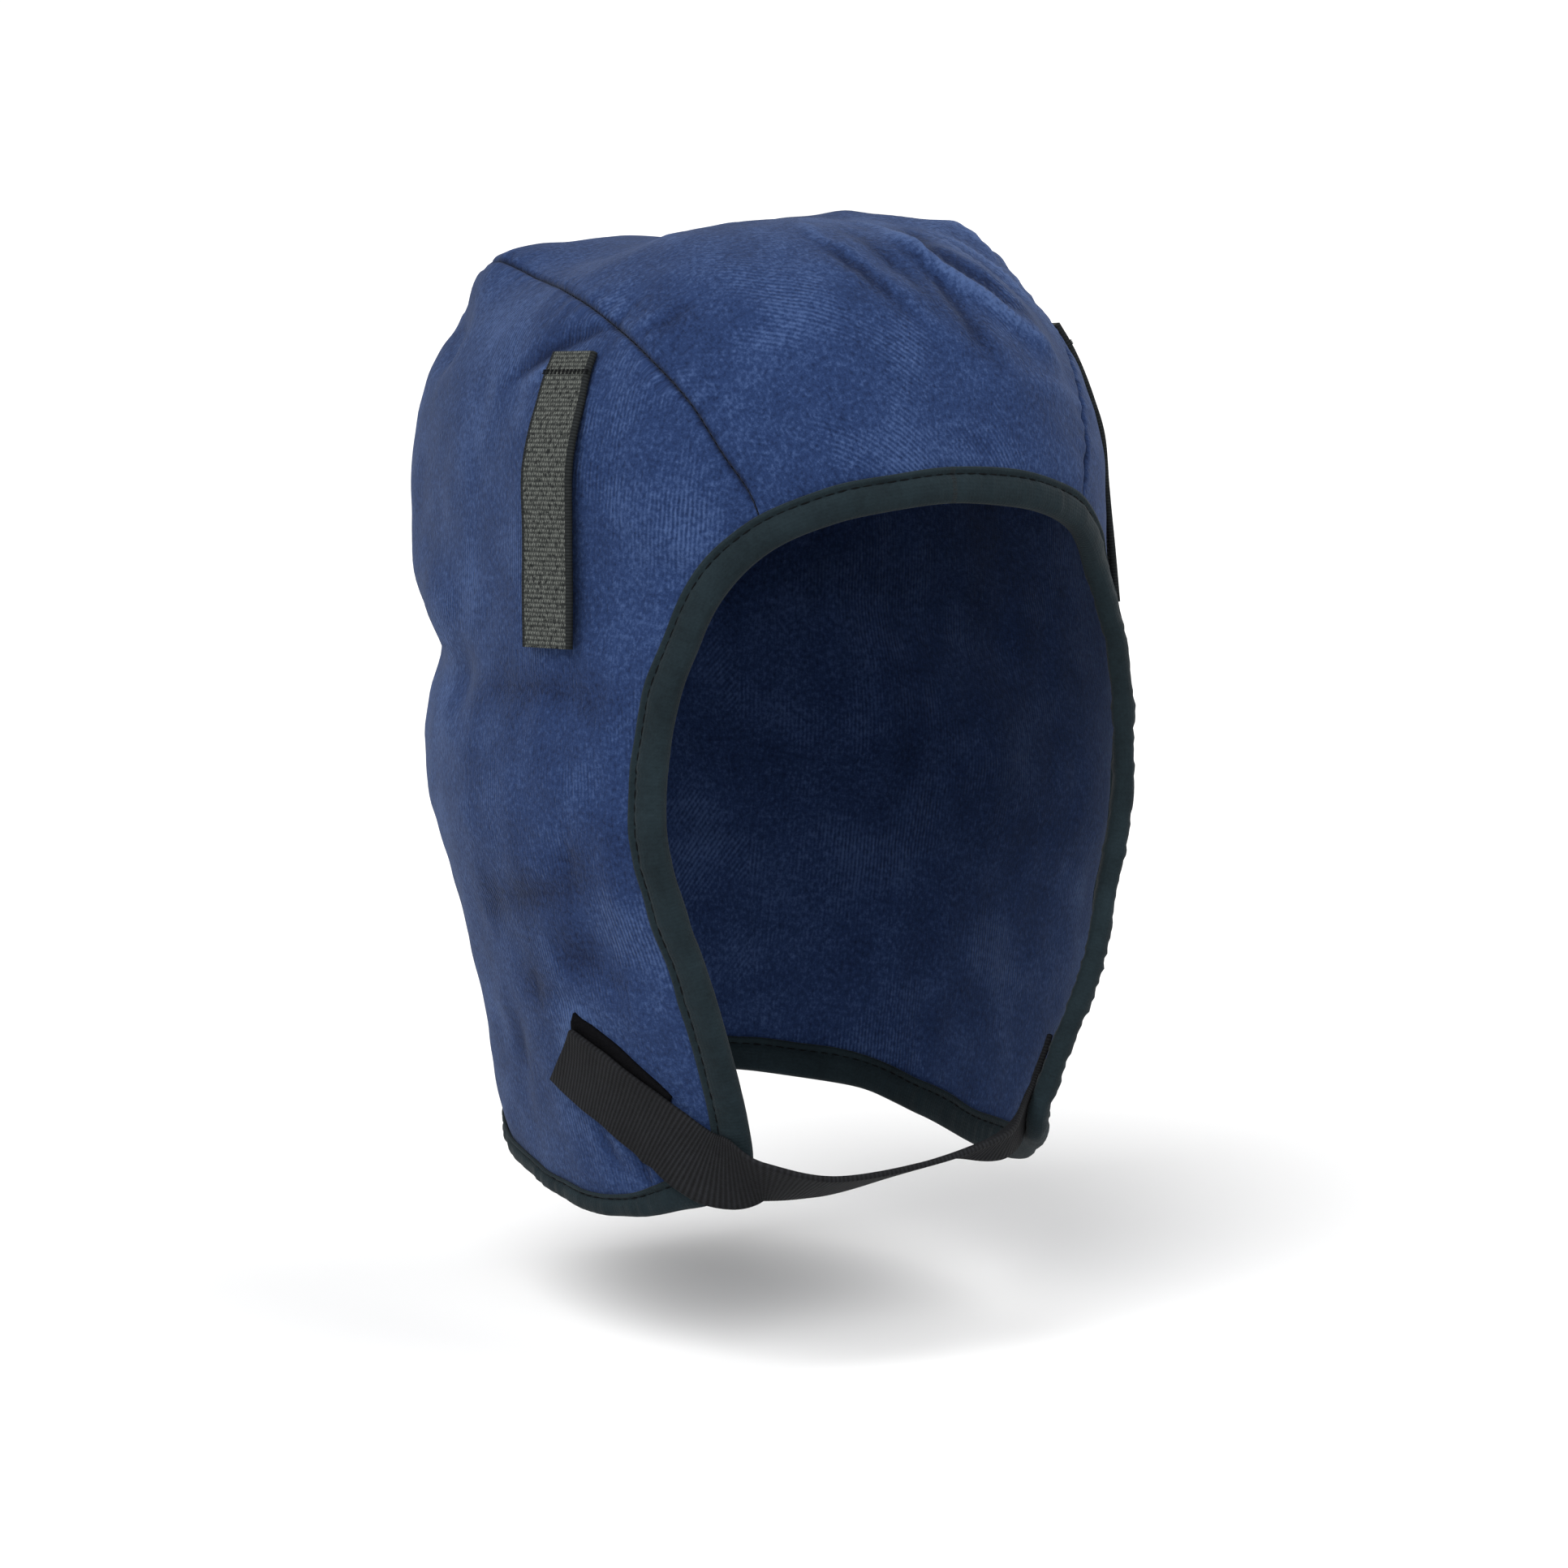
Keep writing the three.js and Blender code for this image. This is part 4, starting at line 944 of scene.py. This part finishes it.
size = len(section)
index = np.arange(stations * size).reshape(stations, size)
faces = np.stack([index, np.roll(index, -1, 1), np.roll(np.roll(index, -1, 0), -1, 1),
                  np.roll(index, -1, 0)], axis=-1).reshape(-1, 4)
round_section = np.concatenate([[0], np.cumsum(np.linalg.norm(np.diff(section, axis=0), axis=1))])
binding_map = np.stack(np.broadcast_arrays(round_section[None, :], travel[:, None]), axis=-1)
make_piece("binding_tape", rings.reshape(-1, 3), faces, binding_map.reshape(-1, 2),
           binding_tape, ["edge_binding"])
print("binding:", round(edge_length), "mm of tape")

# %% [markdown]
# ## The helmet tabs
# Each tab is a short length of hook tape. Its top is sewn down and the rest hangs free, a little
# off the cloth, so that it can be folded round a helmet's band. The section is a thin slab with
# soft edges, carried down the tab's own line.

# %% Tabs
# Side, top and foot, the last two as shares of the hood's sizes.
TABS = [("right", (-0.406, -0.098, 0.124), (-0.463, -0.135, 0.412)),
        ("left", (0.395, -0.095, 0.118), (0.46, -0.14, 0.4))]
TAB_CELL = 0.7


def slab_section(width, thickness, cells):
    """A thin slab's outline as (offset, height), with rounded edges, starting on its inner face."""
    across = np.linspace(-1, 1, cells)
    offset = across * (width / 2 - thickness * 0.35)
    outer = np.full(cells, thickness)
    inner = np.zeros(cells)
    shoulder = width / 2 - 0.08 * thickness
    round_edge = np.array([(shoulder, 0.8), (width / 2, 0.5), (shoulder, 0.2)])
    right = round_edge * (1, thickness)
    return np.vstack([np.stack([offset, outer], 1), right, np.stack([offset[::-1], inner], 1),
                      right[::-1] * (-1, 1)])


def swept(rings):
    """Faces of a body whose rings are joined along it, and the two caps at its ends."""
    count, size = rings.shape[:2]
    index = np.arange(count * size).reshape(count, size)
    ahead = np.roll(index, -1, axis=1)
    faces = np.stack([index[:-1], ahead[:-1], ahead[1:], index[1:]], axis=-1).reshape(-1, 4)
    if not np.array_equal(outward(rings.reshape(-1, 3), faces), faces):
        return faces, (index[0], index[-1][::-1])
    return faces, (index[0][::-1], index[-1])


def tab_line(top, foot):
    """Centres, directions across and directions outward down a tab, and the shares they are at."""
    start, end = on_form(at([top]))[0], on_form(at([foot]))[0]
    run = unit(end - start)
    stand = SEW_GAP + TAB_STAND_OFF

    def place(share, lift):
        return on_hood((start + run * share * TAB_LENGTH)[None], lift)[0]

    bend = place(TAB_BEND, stand)
    straight = unit(place(1, stand) - bend)
    across = unit(np.cross(straight, form_normal(on_form(bend[None]))[0]))
    shares = np.array([0, TAB_SEWN / 2, TAB_SEWN, (TAB_SEWN + TAB_BEND) / 2, TAB_BEND])
    lifts = [SEW_GAP] * 3 + [(SEW_GAP + stand) / 2, stand]
    rows = [place(share, lift) for share, lift in zip(shares, lifts)]
    free = [bend + straight * (share - TAB_BEND) * TAB_LENGTH for share in (0.6, 0.8, 1.0)]
    line = fine_curve(np.array(rows + free), 16)
    line = resample(line, np.linspace(0, 1, int(TAB_LENGTH / TAB_CELL)))
    way = unit(np.gradient(line, axis=0))
    return line, across, unit(np.cross(across, way))


tab_lines = {}
for side, top, foot in TABS:
    line, across, out = tab_line(top, foot)
    outline = slab_section(TAB_WIDTH, TAB_THICKNESS, 15)
    shares = np.linspace(0, 1, len(line))
    curl = 0.7 * np.clip((shares - TAB_SEWN) / (1 - TAB_SEWN), 0, 1)
    ease = 1 + 0.01 * np.sin(shares * 17) - 0.13 * np.exp(-(shares / 0.17) ** 2)
    offset, height = outline[:, 0], outline[:, 1]
    bow = curl[:, None] * (offset[None, :] / (TAB_WIDTH / 2)) ** 2
    rings = (line[:, None] + across * (offset[None, :] * ease[:, None])[..., None]
             + out[:, None] * (height[None, :] + bow * 0.5)[..., None])
    tab_lines[side] = (line, across, out)
    faces, caps = swept(rings)
    along = np.broadcast_to((shares * TAB_LENGTH)[:, None], rings.shape[:2])
    tab_map = np.stack([np.broadcast_to(offset[None], rings.shape[:2]), along], axis=-1)
    make_piece(f"hook_tab_{side}", rings.reshape(-1, 3), faces, tab_map.reshape(-1, 2), hook_tape,
               [f"helmet_tab_{side}"], caps)

# %% [markdown]
# ## The chin strap and its loop patch
# The strap is one length of webbing. It closes on a loop patch on the right flap, runs down to
# the flap's corner, passes under the chin and is sewn inside the left flap. Its table says where
# it lies and how strongly the hood holds it, so that it bends smoothly from cloth to air.

# %% Strap
# Side, fore, down, hold, turn.
STRAP = np.array([
    (-0.42, -0.076, 0.822, 1, 0), (-0.386, -0.169, 0.857, 1, 0), (-0.343, -0.229, 0.891, 1, 0),
    (-0.295, -0.27, 0.92, 1, 0), (-0.24, -0.328, 0.932, 0.4, 0.58),
    (-0.146, -0.345, 0.938, 0, 0.64), (0, -0.345, 0.929, 0, 0.7), (0.12, -0.325, 0.92, 0, 0.64),
    (0.215, -0.28, 0.913, -0.7, 0.3), (0.28, -0.264, 0.9, -1, 0), (0.33, -0.22, 0.865, -1, 0)])
STRAP_CELL = 0.8
STRAP_LIFT = max(PATCH_THICKNESS, BINDING_TAPE) + 2 * SEW_GAP
STRAP_SINK = CLOTH_WALL + BINDING_TAPE + 2 * SEW_GAP + STRAP_THICKNESS

strap_line = fine_curve(at(STRAP[:, :3]), 60)
strap_rows = np.linspace(0, len(STRAP) - 1, len(strap_line))
strap_reach = np.concatenate([[0], np.cumsum(np.linalg.norm(np.diff(strap_line, axis=0), axis=1))])
strap_length = strap_reach[-1]
hold_at = through_rows(np.arange(len(STRAP)), STRAP[:, 3])
turn_at = through_rows(np.arange(len(STRAP)), STRAP[:, 4])


def strap_frame(reach):
    """Centre, direction across, face direction and hold of the strap at lengths along it."""
    pick = [np.interp(reach, strap_reach, strap_line[:, k]) for k in range(3)]
    centre = np.stack(pick, axis=-1)
    way = np.gradient(strap_line, axis=0)
    way = unit(np.stack([np.interp(reach, strap_reach, way[:, k]) for k in range(3)], axis=-1))
    row = np.interp(reach, strap_reach, strap_rows)
    turn = turn_at(row)[..., None]
    facing = form_normal(on_form(centre)) * (1 - turn) - np.array([0, 0, 1.0]) * turn
    across = unit(np.cross(way, facing))
    return centre, across, unit(np.cross(across, way)), hold_at(row)


def strap_points(reach, offset, height):
    """Places on the strap, laid on the cloth as far as the hood holds it."""
    centre, across, normal, hold = strap_frame(reach)
    beside = centre + across * offset[..., None]
    free = beside + normal * height[..., None]
    lift = np.where(hold > 0, STRAP_LIFT, -STRAP_SINK)
    laid = on_hood(nearest_on_form(beside), lift + height)
    held = np.abs(hold)[..., None]
    return free * (1 - held) + laid * held


outline = slab_section(STRAP_WIDTH, STRAP_THICKNESS, 17)
steps = np.linspace(0, 1, int(strap_length / STRAP_CELL))
lower = outline[:, 0] / STRAP_WIDTH + 0.5
slant = STRAP_SLANT * (1 - lower)
reach = slant[None, :] + (strap_length - slant)[None, :] * steps[:, None]
offset = np.broadcast_to(outline[:, 0], reach.shape)
height = np.broadcast_to(outline[:, 1], reach.shape)
strap_rings = strap_points(reach, offset, height)
faces, caps = swept(strap_rings)
make_piece("strap_webbing", strap_rings.reshape(-1, 3), faces,
           np.stack([offset, reach], axis=-1).reshape(-1, 2), webbing, ["chin_strap"], caps)
print("strap:", round(strap_length), "mm long")

# %% Loop patch
patch_along, patch_across = np.linspace(0, PATCH_LENGTH, 44), np.linspace(-0.5, 0.5, 28) * PATCH_WIDTH
grid = np.meshgrid(patch_along + PATCH_INSET, patch_across, indexing="ij")
slip = PATCH_SHIFT * np.clip(1.05 - (patch_along / PATCH_LENGTH) ** 2.2, 0, 1)
grid[1] = grid[1] - slip[:, None]
centre, across, _, _ = strap_frame(grid[0])
patch_places = on_form(centre + across * grid[1][..., None])
soft_edge = np.minimum(np.minimum(patch_along, PATCH_LENGTH - patch_along)[:, None],
                       (PATCH_WIDTH / 2 - np.abs(patch_across))[None, :])
thick = PATCH_THICKNESS * np.sqrt(np.clip(0.25 + soft_edge / 1.2, 0, 1))
patch_lift = form_normal(patch_places)
rise = cloth_rise(patch_places)
points, faces = walled(patch_places + patch_lift * (rise + SEW_GAP + thick)[..., None],
                       patch_places + patch_lift * (rise + 0.1)[..., None])
patch_map = np.stack([grid[1], grid[0]], axis=-1).reshape(-1, 2)
make_piece("loop_patch", points, faces, np.vstack([patch_map, patch_map]), loop_tape,
           ["strap_patch"])

# %% [markdown]
# ## Stitches
# Stitches repeat along a line, so Geometry Nodes lay them. The tree turns a row of points into a
# curve, spaces it by the stitch pitch, and puts one small round-ended stitch at each step. The
# stitch turns to the line's direction and to the face that the points store as an attribute.

# %% Stitch tree


def stitch_tree():
    tree = bpy.data.node_groups.new("Stitch row", "GeometryNodeTree")
    for name, kind in (("Geometry", "NodeSocketGeometry"), ("Stitch Pitch", "NodeSocketFloat"),
                       ("Stitch Length", "NodeSocketFloat"), ("Thread Width", "NodeSocketFloat"),
                       ("Slant", "NodeSocketFloat"), ("Thread", "NodeSocketMaterial")):
        tree.interface.new_socket(name, in_out="INPUT", socket_type=kind)
    tree.interface.new_socket("Geometry", in_out="OUTPUT", socket_type="NodeSocketGeometry")
    given = add_node(tree, "NodeGroupInput").outputs
    curve = add_node(tree, "GeometryNodeMeshToCurve", {0: given["Geometry"]}).outputs[0]
    spaced = add_node(tree, "GeometryNodeResampleCurve", {"Curve": curve, "Length": given["Stitch Pitch"]},
                      mode="LENGTH").outputs[0]
    face = add_node(tree, "GeometryNodeInputNamedAttribute", {"Name": "face"}, data_type="FLOAT_VECTOR")
    way = add_node(tree, "GeometryNodeInputTangent").outputs[0]
    turned = add_node(tree, "FunctionNodeAlignRotationToVector", {"Vector": way}, axis="X")
    turned = add_node(tree, "FunctionNodeAlignRotationToVector",
                      {"Rotation": turned.outputs[0], "Vector": face.outputs[0]}, axis="Z", pivot_axis="X")
    about = add_node(tree, "ShaderNodeCombineXYZ", {2: given["Slant"]})
    lean = add_node(tree, "FunctionNodeEulerToRotation", {0: about.outputs[0]})
    turned = add_node(tree, "FunctionNodeRotateRotation", {0: turned.outputs[0], 1: lean.outputs[0]},
                      rotation_space="LOCAL")
    ball = add_node(tree, "GeometryNodeMeshUVSphere", {"Segments": 8, "Rings": 6, "Radius": 0.5})
    sizes = add_node(tree, "ShaderNodeCombineXYZ", {0: given["Stitch Length"], 1: given["Thread Width"],
                                                    2: given["Thread Width"]})
    stitch = add_node(tree, "GeometryNodeTransform", {"Geometry": ball.outputs[0], "Scale": sizes.outputs[0]})
    laid = add_node(tree, "GeometryNodeInstanceOnPoints", {"Points": spaced, "Instance": stitch.outputs[0],
                                                          "Rotation": turned.outputs[0]})
    real = add_node(tree, "GeometryNodeRealizeInstances", {0: laid.outputs[0]})
    smooth = add_node(tree, "GeometryNodeSetShadeSmooth", {0: real.outputs[0]})
    dressed = add_node(tree, "GeometryNodeSetMaterial", {"Geometry": smooth.outputs[0],
                                                         "Material": given["Thread"]})
    add_node(tree, "NodeGroupOutput", {0: dressed.outputs[0]})
    return tree


STITCHES = stitch_tree()


def sew(name, lines, pitch, length, width, slant=0.0):
    """Lay stitches along lines of (points, face directions), as one plain mesh."""
    points = np.vstack([line[0] for line in lines]) * MM
    faces = np.vstack([line[1] for line in lines])
    edges, start = [], 0
    for line in lines:
        count = len(line[0])
        edges += [(start + i, start + i + 1) for i in range(count - 1)]
        start += count
    mesh = bpy.data.meshes.new(name + "_line")
    mesh.from_pydata(points.tolist(), edges, [])
    layer = mesh.attributes.new("face", "FLOAT_VECTOR", "POINT")
    layer.data.foreach_set("vector", faces.astype(np.float32).ravel())
    guide = bpy.data.objects.new(name + "_line", mesh)
    bpy.context.collection.objects.link(guide)
    rows = guide.modifiers.new("stitches", "NODES")
    rows.node_group = STITCHES
    given = {"Stitch Pitch": pitch * MM, "Stitch Length": length * MM, "Thread Width": width * MM,
             "Slant": slant, "Thread": thread}
    for item in STITCHES.interface.items_tree:
        if item.item_type == "SOCKET" and item.name in given:
            rows[item.identifier] = given[item.name]
    graph = bpy.context.evaluated_depsgraph_get()
    made = bpy.data.meshes.new_from_object(guide.evaluated_get(graph), depsgraph=graph)
    made.name = name
    bpy.data.objects.remove(guide)
    piece = bpy.data.objects.new(name, made)
    bpy.context.collection.objects.link(piece)
    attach(piece, "root")
    print(name, len(made.polygons), "faces")


# %% Binding stitches


def edge_line(depth, height):
    """A closed line round the binding at a depth from its fold, with its face directions."""
    outer = height > -CLOTH_WALL / 2
    guess = under_tape(depth, outer)
    line = on_hood(guess, height)
    normal = form_normal(guess) * (1 if outer else -1)
    return np.vstack([line, line[:1]]), np.vstack([normal, normal[:1]])


top_of_tape = SEW_GAP + BINDING_TAPE - STITCH_DIP
sew("binding_stitches", [edge_line(STITCH_DEPTH, top_of_tape + 0.12),
                         edge_line(STITCH_DEPTH, -CLOTH_WALL - top_of_tape - 0.12)], 3.1, 2.5, 0.42)

# %% [markdown]
# In the seams the thread crosses the gap between the two panels in short slanting stitches that
# lie deep between the rolled edges. Only their dark dots show from outside.

# %% Seam stitches


def seam_line(line):
    count = int(line_length(line) / 2)
    places = on_form(resample(line, np.linspace(0.012, 0.985, count)))
    return on_hood(places, -SEAM_DEPTH * 0.9), form_normal(places)


sew("seam_stitches", [seam_line(seam_right), seam_line(seam_left)], 2.3, 1.9, 0.5, 0.5)

# %% Bar tacks
TACK_SHARE, TACK_WIDTH = 0.085, 17.5
tacks = []
for line, across, out in tab_lines.values():
    for shift in (-0.45, 0.0, 0.45):
        i = int(TACK_SHARE * len(line))
        middle = line[i] + (line[i + 1] - line[i]) / TAB_CELL * shift + out[i] * (TAB_THICKNESS + 0.02)
        ends = np.linspace(-TACK_WIDTH / 2, TACK_WIDTH / 2, 12)
        tacks.append((middle + across * ends[:, None], np.tile(out[i], (12, 1))))
sew("bar_tacks", tacks, 1.5, 1.35, 0.42)

# %% [markdown]
# ## The studio
# The floor is a plain pale plane a little under the hem. The lights are suns seen over a wide
# angle: they light the floor evenly and keep the shadow faint. The sky is white at the horizon,
# which makes the backdrop, and dimmer overhead, so that the key light still models the folds.

# %% Floor and lights
FLOOR_Z, FLOOR_REACH = -0.277, 6.0


def soft_light(name, azimuth, elevation, strength, spread):
    """A far light that is as strong everywhere. Its spread in degrees softens its shadows."""
    data = bpy.data.lights.new(name, "SUN")
    data.energy, data.angle = strength, math.radians(spread)
    light = bpy.data.objects.new(name, data)
    bpy.context.collection.objects.link(light)
    middle = np.array([0.0, 0.0, -120.0])
    aim(light, middle + view_direction(azimuth, elevation) * 1500, middle)


floor_finish = bpy.data.materials.new("white_floor")
floor_finish.use_nodes = True
floor_shader = floor_finish.node_tree.nodes["Principled BSDF"].inputs
floor_shader["Base Color"].default_value = (0.7, 0.7, 0.7, 1)
floor_shader["Roughness"].default_value = 0.9
floor_mesh = bpy.data.meshes.new("floor")
floor_corners = [(x * FLOOR_REACH, y * FLOOR_REACH, FLOOR_Z)
                 for x, y in ((-1, -1), (1, -1), (1, 1), (-1, 1))]
floor_mesh.from_pydata(floor_corners, [], [(0, 1, 2, 3)])
floor_mesh.materials.append(floor_finish)
floor = bpy.data.objects.new("floor", floor_mesh)
bpy.context.collection.objects.link(floor)

soft_light("key", -60, 48, 3.6, 50)
soft_light("front", -15, 15, 1.0, 60)
soft_light("top", 60, 52, 1.5, 50)
world = bpy.data.worlds.new("studio")
world.use_nodes = True
sky = world.node_tree
ray = add_node(sky, "ShaderNodeSeparateXYZ", {0: add_node(sky, "ShaderNodeTexCoord").outputs["Generated"]})
height = add_node(sky, "ShaderNodeMapRange", {0: ray.outputs[2], 1: 0.15, 2: 0.7, 3: 1.08, 4: 0.4})
sky.links.new(height.outputs[0], sky.nodes["Background"].inputs["Strength"])
sky.nodes["Background"].inputs["Color"].default_value = (1, 1, 1, 1)
bpy.context.scene.world = world
bpy.context.scene.view_settings.view_transform = "Standard"
